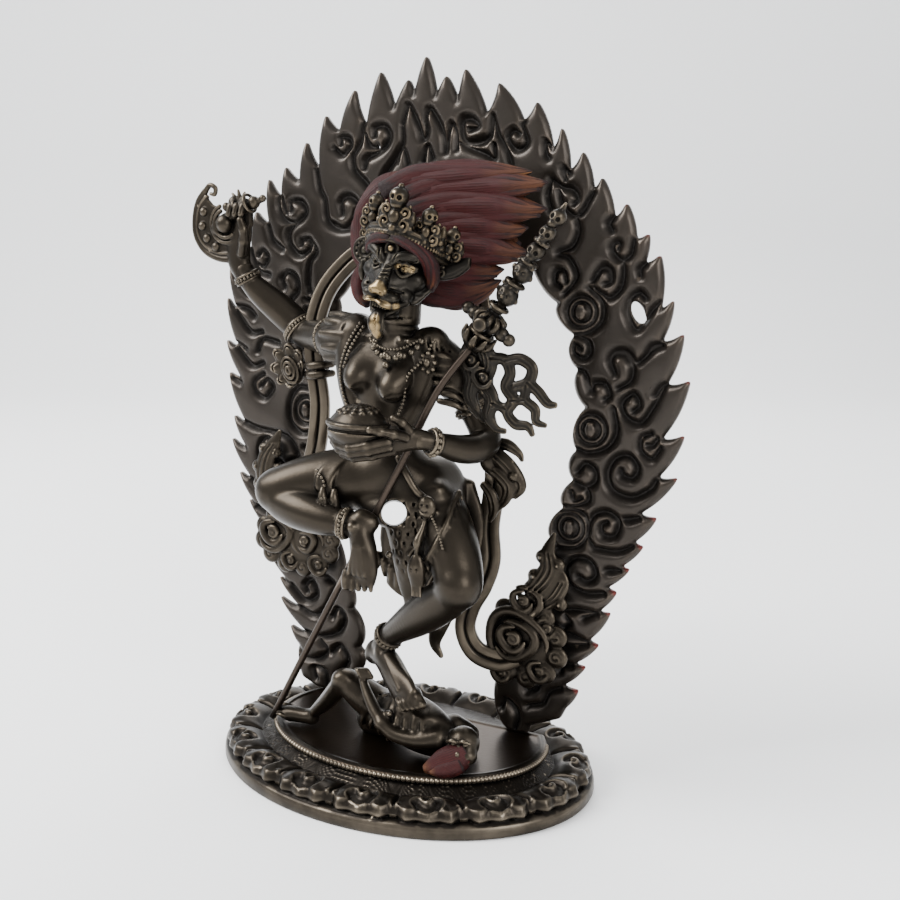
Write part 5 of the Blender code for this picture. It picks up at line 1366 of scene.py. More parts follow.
SCARF_LEFT = (
    (-2, 9.4, 180, 3, 1.3), (-9, 9.4, 176, 3.1, 1.4), (-16, 8.4, 171, 3.2, 1.4),
    (-24.1, 6, 164.4, 3.3, 1.5), (-29.6, 2.6, 156.1, 3.4, 1.5),
    (-31.8, -0.6, 145, 3.4, 1.5), (-30.6, -2.6, 133, 3.2, 1.5), (-29, -2.6, 120, 3.3, 1.5),
    (-31.4, -1.6, 106, 3.4, 1.5),
    (-38, 2, 94, 3.4, 1.6), (-46, 6, 83.6, 3.6, 1.7), (-53, 9.6, 74, 3.4, 1.6),
)
SCARF_RIGHT = (
    (14, 9.6, 171, 3, 1.3), (22, 8.4, 160, 3.1, 1.4), (26, 6.4, 147, 3.2, 1.4), (27, 4.6, 135, 3.2, 1.4),
    (28.4, 2.4, 122, 3.2, 1.4),
    (31.6, 0.6, 112, 3.2, 1.5), (33.6, 0, 103, 3.2, 1.5), (32.4, 1, 94, 3.3, 1.5), (30.6, 2, 84, 3.4, 1.5),
    (30.6, 3, 73.5, 3.4, 1.5),
    (27.4, 4, 64.6, 3.4, 1.5), (22.6, 5, 56.4, 3.4, 1.5), (20.4, 6, 48, 3.4, 1.5),
    (23.6, 7.4, 40.6, 3.6, 1.6), (31, 9.4, 38, 3.6, 1.6),
    (38, 10.4, 40, 2.6, 1.4),
)


def scarf():
    verts, quads = joined([ribbon(SCARF_LEFT), ribbon(SCARF_RIGHT)])
    finish_piece(mesh_object("scarf_band", verts, quads, FLESH_METAL), "worn_bronze")
    # Knot and rosette below the right arm, then the bow and ball at the left elbow
    c = Clay((-52, -9, 118), (-20, 6, 144), KNOT_STEP)
    for dz in (-1.4, 1.6):
        c.bar(((-34.4, -1.4, 130.6 + dz, 1.3), (-31, -4.8, 130.8 + dz, 1.5), (-27, -4.4, 131.2 + dz, 1.4),
               (-25.2, -1, 131.4 + dz, 1.2)), 0.2)
    for deg, reach in ((20, 4.6), (62, 6.4), (100, 7.6), (140, 8.2), (180, 7.6), (222, 6.6), (262, 5.6),
                       (304, 4.6)):
        a = math.radians(deg)
        u, w = math.cos(a), math.sin(a)
        c.bar(((-39.4 + u * 1.5, -2.4, 131 + w * 1.5, 1.6, 1.2),
               (-39.4 + u * reach * 0.7, -3, 131 + w * reach * 0.7, 2.5, 1.2),
               (-39.4 + u * reach, -3.6, 131 + w * reach, 1.5, 1.1)), 0.35)
        c.bar([(-39.4 + u * q - w * p, -4.2, 131 + w * q + u * p, 0.28) for q, p in
               ((2.4, -1.5), (reach * 0.8, -1.5), (reach * 0.98, 0), (reach * 0.8, 1.5),
                (2.4, 1.5))], 0.15, cut=True)
    c.blob(-39.4, -3, 130.6, 4.2, 1.9, 5, roll=-25, blend=0.3)
    tilt = math.radians(25)
    for r, y in ((3.5, -4.5), (2.2, -5.0), (0.9, -5.4)):
        ring = [(r * 0.8 * math.cos(v), r * 1.25 * math.sin(v)) for v in np.linspace(0, 2 * math.pi, 25)]
        c.bar([(-39.4 + p * math.cos(tilt) - q * math.sin(tilt), y,
                130.6 + p * math.sin(tilt) + q * math.cos(tilt), 0.6) for p, q in ring],
              0.15, steps=1)
    finish_piece(cast("scarf_rosette", c, FLESH_METAL, ROSETTE_TRIANGLES), "worn_bronze")
    c = Clay((26, -8, 84), (52, 6, 118), KNOT_STEP)
    for rows in (((31, -3, 110, 1.6), (36, -4, 108.4, 2.6), (40.6, -4, 104.6, 2.8), (43.4, -3.4, 100, 2.2),
                  (41.4, -3, 96.6, 1.4)),
                 ((32, -3.4, 104.6, 1.4), (37, -4.4, 102.8, 2.2), (40, -4.2, 99.4, 2.2),
                  (38.6, -3.4, 95, 1.6), (36, -3, 92, 0.9)),
                 ((31, -3, 99, 1.4), (34, -3.4, 96, 1.9), (34.6, -3, 91.6, 1.7), (33, -2.6, 87.6, 0.8)),
                 ((33, -2, 112, 1.2), (38.4, -2.6, 112, 1.9), (42.6, -2.6, 109.6, 1.3),
                  (43.6, -2.4, 107.4, 0.7))):
        c.bar([(x, y, z, w, w * 0.62) for x, y, z, w in rows], 0.4)
        c.bar([(x, y - w * 0.62, z, 0.34) for x, y, z, w in rows], 0.25, cut=True)
    c.blob(42, -4.4, 103, 1.9, blend=0.3)
    c.blob(33, -3.6, 106.6, 2.8, 2.2, 3.4, blend=0.3)
    finish_piece(cast("scarf_bow", c, FLESH_METAL, BOW_TRIANGLES), "worn_bronze")


scarf()

# Cloud ends of the scarf: bronze, cast with it; thick curls nested round an eye, with puffs round the
# rim and a swept plume above, standing just before the flame ring on both sides
CLOUD_STEP, CLOUD_TRIANGLES = 0.35, 40000


def nest(c, x, z, radii, y, thick, turn=0.0):
    """Small spiral with crescents nested round it, each opening another way."""
    squash = 0.88
    t = np.linspace(0, 1, 30)
    a = 8.6 * t + turn
    r = radii[0] * (0.25 + 0.75 * t)
    c.bar([(x + p, y, z + q, thick * 0.62, thick * 0.75) for p,
           q in zip(r * np.cos(a), r * squash * np.sin(a))], 0.15, steps=1)
    for k, r in enumerate(radii[1:]):
        a = np.radians(np.linspace(35, 300, 30) + math.degrees(turn) + 130 * k + 50)
        w = thick * (0.30 + 0.80 * np.sin(np.pi * t) ** 0.7)
        r = r * (1 + 0.07 * np.sin(3 * a + k)) * (1 - 0.18 * t)
        c.bar([(x + p, y + 0.35 * k, z + q, v, v * 0.8) for p, q,
               v in zip(r * np.cos(a), r * squash * np.sin(a), w)], 0.15, steps=1)
    c.blob(x, y - 0.2, z, radii[0] * 0.4, 1.0, radii[0] * 0.5, blend=0.2)


def lobes(c, x, z, reach, count, start, end, squash):
    """Row of puffs on an arc, each with a spiral cut in its face."""
    size, y = 3.7, 11.2
    for k in range(count):
        a = math.radians(start + (end - start) * k / max(count - 1, 1))
        px, pz = x + reach * math.cos(a), z + reach * squash * math.sin(a)
        c.blob(px, y, pz, size, 1.6, size, blend=0.3)
        c.bar([(px + size * 0.55 * math.cos(b) * (1 - b / 9), y - 1.5,
                pz + size * 0.55 * math.sin(b) * (1 - b / 9), 0.32)
               for b in np.linspace(0, 5.6, 13)], 0.15, cut=True, steps=1)


def cloud(name, low, high, core, rim, nests, plumes, deep, sunk, puffs):
    """One cloud end: flat core, puffs on its rim, nested curls, fluted plumes, and curled puffs on them."""
    c = Clay(low, high, CLOUD_STEP)
    c.blob(*core, blend=1)
    lobes(c, *rim)
    for row in nests:
        nest(c, *row)
    for rows in plumes:
        c.bar([(x, y, z, w, w * deep) for x, y, z, w in rows], 0.6)
        for s in (-0.45, 0.1, 0.6):
            c.bar([(x + w * s, y - w * sunk, z, 0.4) for x, y, z, w in rows[:-1]], 0.3, cut=True)
    for x, z, r in puffs:
        c.blob(x, 10.8, z, r, 1.5, r, blend=0.4)
        nest(c, x, z, (r * 0.62,), 9.6, 0.42)
    finish_piece(cast(name, c, FLESH_METAL, CLOUD_TRIANGLES), "worn_bronze")


def clouds():
    cloud("cloud_end_right_hand", (-70, 5.4, 50), (-28, 14.2, 112), (-50, 11.6, 68, 14.5, 2, 10),
          (-50, 68, 15, 11, 100, 400, 0.66),
          ((-59, 70, (2.4, 4.8, 7.6), 9.4, 1.5), (-45.4, 68.4, (1.8, 4.2, 7), 9.8, 1.3, 2.4),
           (-51, 76, (1.2, 3), 10, 1.0, 1), (-40, 60, (1.4, 4), 10, 1.1), (-52, 60.4, (1.4, 3.6), 10, 1.1),
           (-61, 84, (1.4, 4.8), 9.8, 1.1)),
          (((-56, 11, 77, 3.4), (-60, 10.6, 84, 4), (-62.6, 10.4, 90, 4.2), (-61.6, 10.4, 97, 3.6),
            (-58.4, 10.6, 102, 2.6), (-56, 11, 107, 0.7)),
           ((-48, 11, 78, 2.6), (-52, 10.6, 84, 3), (-55, 10.4, 90, 2.6), (-54, 10.6, 95, 0.8))), 0.42, 0.4,
          ((-65.6, 87, 2.6), (-66, 93.4, 2.4), (-57, 93, 2.2), (-63, 100, 2.2), (-57.6, 99, 1.9)))
    cloud("cloud_end_left_hand", (18, 5.4, 27), (56, 14.2, 86), (38, 11.6, 45, 11.4, 2, 10.6),
          (38.4, 45, 12.4, 9, -150, 120, 0.95),
          ((36.4, 46.6, (2.4, 5, 7.8, 10.8), 8.4, 1.6), (39.4, 59.6, (1.8, 3.9, 6.2), 9.2, 1.3),
           (47.4, 51.4, (1.4, 3.6), 10, 1.1), (45, 36.4, (1.4, 3.8), 10, 1.1),
           (31.6, 33.6, (1.4, 3.4), 10, 1.1)),
          (((41, 11, 62, 3.4), (45, 10.6, 66, 4), (47.8, 10.4, 71, 3.6), (47, 10.6, 76, 2.6),
            (49, 11, 82.6, 0.7)),
           ((44, 11, 58, 2.8), (49, 10.6, 62, 3), (52, 10.6, 67, 2.4), (51, 10.8, 71.6, 0.8))), 0.45, 0.42,
          ((42.6, 68, 2.4), (50.6, 72.6, 2.2), (45, 74.6, 2.2), (51.4, 60, 2.4)))


clouds()

# Staff: a round copper-brown rod set through the crook of the left arm, one casting with its dark head:
# a lotus cup and crossed thunderbolt, two heads, three skulls and a point, with pierced streamers below
STAFF_METAL = bronze("staff_bronze", (0.008, 0.006, 0.004), (0.050, 0.037, 0.0285), (0.19, 0.15, 0.115),
                     0.7)
STAFF_HEAD_METAL = bronze("staff_head_bronze", (0.003, 0.0024, 0.002), (0.0175, 0.0152, 0.0124),
                          (0.28, 0.22, 0.15), 0.6)
STAFF_STEP, STAFF_TRIANGLES = 0.3, 50000
SHAFT = ((-43.6, -14, 12.1), (-24.4, -18.5, 42.7), (-7.2, -23, 69.5), (6.5, -24.5, 93.1),
         (14.4, -23.5, 107.7), (24.6, -20, 129.3),
         (35.2, -16, 144.1), (43.5, -14.5, 156.1), (50.5, -14, 166.7), (57.6, -14, 176.4))


def staff():
    rod = lock([(*p, 1.12, 1.12) for p in SHAFT], 8, 24, 8, 0.02, 0)
    finish_piece(combed("staff_rod", [rod], STAFF_METAL), "copper_brown", "khatvanga_staff")
    c = Clay((26, -22, 108), (66, -8, 188), STAFF_STEP)
    way = np.array((0.57, 0.05, 0.82))
    side = np.array((0.82, 0.0, -0.57))

    def at(x, y, z, s=0.0, up=0.0, out=0.0):
        return tuple(np.array((x, y, z)) + side * s + way * up + np.array((0, -1, 0)) * out)

    base = (35.2, -16, 144.1)
    # Crossed thunderbolt: a ribbed hub with four knobbed arms
    for s in (-1, 1):
        for out in (0, 1):
            arm = [(*at(38.6, -15.6, 148.8, s * r * (1 - out), 0, s * r * out), w) for r,
                   w in ((1, 2.4), (4, 1.7), (5.2, 2.1), (6.4, 1.3), (7.8, 1.7))]
            c.bar(arm, 0.3)
            c.blob(*arm[-1][:3], 1.9, blend=0.2)
    for k in range(10):
        a = k * math.pi / 5
        c.bar([(*at(38.8, -15.6, 149.2, r * math.cos(a), up, r * math.sin(a)), w) for r, up,
               w in ((1.4, -2.6, 0.9), (3.7, -0.6, 1.1), (4.2, 1.4, 0.9), (2.6, 2.6, 0.5))], 0.2)
    for k in range(9):
        a = k * 2 * math.pi / 9
        c.bar([(*at(*base, 1.6 * math.cos(a), -2.4, 1.6 * math.sin(a)), 0.9),
               (*at(*base, 4 * math.cos(a), -0.2, 4 * math.sin(a)), 1.15),
               (*at(*base, 4.9 * math.cos(a), 2.2, 4.9 * math.sin(a)), 0.5)], 0.3)
    c.blob(*at(39, -15.4, 149.8), 3.1, 3.1, 3.1, blend=0.3)
    c.blob(*at(41.2, -15, 153), 2.1, 2.1, 1.4, roll=35, blend=0.3)
    for place, r in (((36.6, -15.8, 146.2), 3.5), ((41.6, -15, 153.6), 2.7), ((46.2, -14.4, 160.2), 2.7),
                     ((50.2, -14, 166), 2.4), ((54, -14, 171.4), 2.1)):
        c.bar([(*p, 0.6) for p in hoop(place, way, r)], 0.15, steps=1)
    for place, r in (((44, -14.6, 157), 3.2), ((48.4, -14.2, 163.2), 3.0)):
        c.blob(*at(*place), r, r, r * 1.06, blend=0.2)
        for s in (-1, 1):
            c.blob(*at(*place, s * r * 0.42, r * 0.15, r * 0.9), 0.62, blend=0.15, cut=True)
            c.blob(*at(*place, s * r * 0.42, r * 0.12, r * 0.78), 0.42, blend=0.1)
            c.blob(*at(*place, s * r * 0.95, 0, 0.2), 0.8, 0.8, 1.1, blend=0.2)
        c.bar([(*at(*place, -r * 0.45, -r * 0.5, r * 0.88), 0.22),
               (*at(*place, 0, -r * 0.58, r * 0.98), 0.24),
               (*at(*place, r * 0.45, -r * 0.5, r * 0.88), 0.22)], 0.15, cut=True)
        c.blob(*at(*place, 0, -r * 0.14, r * 1.0), 0.5, 0.5, 0.6, blend=0.3)
        for k in range(7):
            c.blob(*at(*place, (k - 3) * 0.8, r * 0.9, r * 0.5), 0.65, blend=0.15)
    for place, r in (((52.2, -14, 169), 2.7), ((55.6, -14, 173.8), 2.5), ((58.6, -14, 178), 2.5)):
        c.blob(*at(*place), r, r, r * 0.96, blend=0.2)
        c.blob(*at(*place, 0, -r * 0.75, r * 0.3), r * 0.66, r * 0.7, r * 0.5, blend=0.4)
        for s in (-1, 1):
            c.blob(*at(*place, s * r * 0.42, 0, r * 0.86), 0.7, blend=0.15, cut=True)
        c.blob(*at(*place, 0, -r * 0.42, r * 0.98), 0.36, blend=0.1, cut=True)
        for k in range(4):
            c.bar([(*at(*place, (k - 1.5) * 0.6, -r * 0.8, r * 0.94), 0.14),
                   (*at(*place, (k - 1.5) * 0.6, -r * 1.15, r * 0.9), 0.14)],
                  0.1, cut=True)
    c.bar(((59.4, -14, 179.6, 1.1), (60.8, -14, 181.6, 0.5)), 0.3)
    # Streamers: broad folded cloth under the hub, then a fluttering end pierced by open holes
    for rows in (
            ((33.6, -15.6, 143, 2.6), (31.6, -14.8, 138.4, 3.0), (33, -14.4, 133, 2.8), (32, -14, 128, 2.4),
             (34, -14, 123.4, 1.6), (36.4, -14, 120.6, 0.8)),
            ((37, -15.4, 142, 2.8), (38, -14.4, 137.4, 3.0), (36.4, -14, 132, 2.8), (39, -14, 127, 2.4),
             (38, -14, 122, 2.0), (40.6, -14, 118.6, 1.2),
             (43.4, -14, 118, 0.9)),
            ((39, -14.6, 139, 1.6), (43, -14, 138.6, 1.8), (44.8, -14, 135, 1.8), (43.4, -14, 131, 1.8),
             (45.8, -14, 127.4, 1.9), (44, -14, 123.6, 1.7),
             (46.6, -14, 120.4, 1.7), (50.4, -14, 120, 1.4), (52, -14, 117.6, 0.9)),
            ((43.6, -14, 138.4, 1.6), (48, -14, 139, 1.8), (51.6, -14, 136.6, 1.8), (50.4, -14, 132.6, 1.8),
             (46.4, -14, 131, 1.6)),
            ((50.4, -14, 132.6, 1.6), (53.6, -14, 130, 1.7), (56.4, -14, 127, 1.5), (59, -14, 126.6, 0.9)),
            ((50, -14, 131.6, 1.5), (49.6, -14, 127.6, 1.6), (52.6, -14, 125, 1.6), (53, -14, 121.6, 1.3),
             (56, -14, 120.6, 0.8)),
            ((45.4, -14, 127, 1.4), (49.4, -14, 127.4, 1.4)),
            ((39.4, -14, 126, 1.5), (43.6, -14, 124.4, 1.5))):
        c.bar([(x, y, z, w, min(w * 0.6, 1.3)) for x, y, z, w in rows], 0.4)
        for s in (-0.42, 0.0, 0.42):
            if rows[0][3] > 2.4 or s == 0:
                c.bar([(x + w * s, y - min(w * 0.6, 1.3), z, 0.3) for x, y, z, w in rows], 0.2, cut=True)
    for x, z in ((33.4, 138.4), (37.4, 133.4)):
        nest(c, x, z, (1.4, 3.4), -16.4, 0.8)
    finish_piece(cast("staff_head", c, STAFF_HEAD_METAL, STAFF_TRIANGLES), "dark_bronze")


staff()

# Flame ring: one flat bronze casting behind the figure, flame tongues outside and scallops inside, with
# deep carved curls, four ringed jewels, one slot and one pinhole, red paint left on the tips on one side;
# its two feet stand on the plate
RING_METAL = tinted(bronze("ring_bronze", (0.003, 0.0024, 0.002), (0.0260, 0.0205, 0.0160),
                           (0.125, 0.095, 0.070), 0.8, 0.005, 0.72), (0.10, 0.012, 0.010), 0.5)
RING_FRONT, RING_BACK, RING_STEP = 14.3, 18.4, 0.34
GROOVE_DEEP, GROOVE_WIDE, DISH_DEEP, DISH_WIDE, WAVE_DEEP = 1.3, 0.85, 0.4, 2.6, 0.7
RING_TRIANGLES = 150000
RED_BELOW = 185
TIPS_RIGHT = (
    (0.9, 229.7), (8, 223.1), (14.6, 224.8), (25.8, 219.9), (38.7, 213.6), (46.5, 206.3), (53.6, 198.6),
    (59.7, 191), (67.5, 183.4), (74.7, 174.5), (78.2, 168.4), (82.8, 156), (86.1, 145.9), (88.5, 132.3),
    (87.6, 116.1), (86.2, 103.2), (80.1, 90.1), (76.2, 80.6), (72.2, 72.9), (68.1, 64.8), (66.3, 58),
    (62.8, 46.6), (58.6, 38.6), (56.1, 30.1),
)
VALLEYS_RIGHT = (
    (4.4, 216.9), (12.1, 214.9), (22.1, 210.5), (34.5, 207.8), (44.1, 198.7), (49.6, 192.4), (57.3, 186.8),
    (64, 178.6), (70.9, 172.6), (73.5, 165.4), (78.8, 152.3), (79.4, 142.8), (81.4, 130.3), (80.4, 113.9),
    (79.6, 102.1), (74.3, 90.4), (72.8, 81.2), (68.9, 73), (64.6, 65.7), (61.9, 57.4), (59.1, 47.4),
    (54.2, 38.8), (50.6, 30.7), (51.8, 23),
)
TIPS_LEFT = (
    (-5.6, 223), (-15.9, 226.2), (-25.5, 221.5), (-37.4, 214), (-45.3, 206.1), (-54.3, 198), (-61.6, 194.6),
    (-67.5, 183.4), (-74.7, 174.5), (-80.2, 165), (-81.9, 154.1), (-83.1, 138.3), (-82.3, 126.4),
    (-81, 110.8), (-82.5, 102.4), (-79.5, 89.9), (-76, 80.6), (-72, 72.5), (-68, 62.5), (-63.1, 52.5),
    (-62.8, 44.6), (-58.2, 33.8), (-54, 27),
)
VALLEYS_LEFT = (
    (-3.5, 217.7), (-10.9, 214.3), (-21.5, 209.3), (-32, 208.3), (-40.3, 196.5), (-48.6, 192.8),
    (-56.3, 187.4), (-62, 178.6), (-70, 170), (-75, 158), (-77, 148), (-77.5, 135.4), (-76.4, 124),
    (-75, 107.8), (-75, 98.3), (-73, 87), (-71, 77), (-66, 68), (-61, 58), (-56.5, 49), (-52.5, 40.8),
    (-49.6, 31.4), (-50, 22), (-53, 15),
)
# Inner scallops: cusp, then the middle of the lobe after it, going up the right side and down the left
SCALLOPS = (
    (33, 11.4), (27, 17), (26.8, 29), (27.5, 36), (30.5, 43), (33, 50), (36.5, 56), (38, 62), (42.5, 68),
    (43.5, 73),
    (47.5, 78), (44.6, 83), (50, 90), (48.8, 94), (53, 99), (51, 104), (54, 108.5), (52.4, 115),
    (56.5, 122),
    (52.6, 128), (54, 133.5), (50.4, 138.5), (52.5, 144), (46.6, 149), (47, 153.5), (40.5, 159),
    (37.5, 167),
    (31, 171), (28.5, 179), (20, 181), (13, 188), (3, 186.5), (-7, 189.5), (-13, 183), (-19.5, 181),
    (-22.5, 174),
    (-27, 167), (-28, 160), (-34, 153), (-34, 146), (-39.5, 139), (-38.5, 131), (-42.5, 122), (-40.4, 114),
    (-43.5, 105), (-40.6, 97), (-42, 89), (-38, 81), (-38.5, 72), (-34, 64), (-33.5, 56), (-29.5, 50),
    (-30, 44),
    (-25.6, 37), (-27.5, 30), (-27, 21), (-40, 11.4),
)
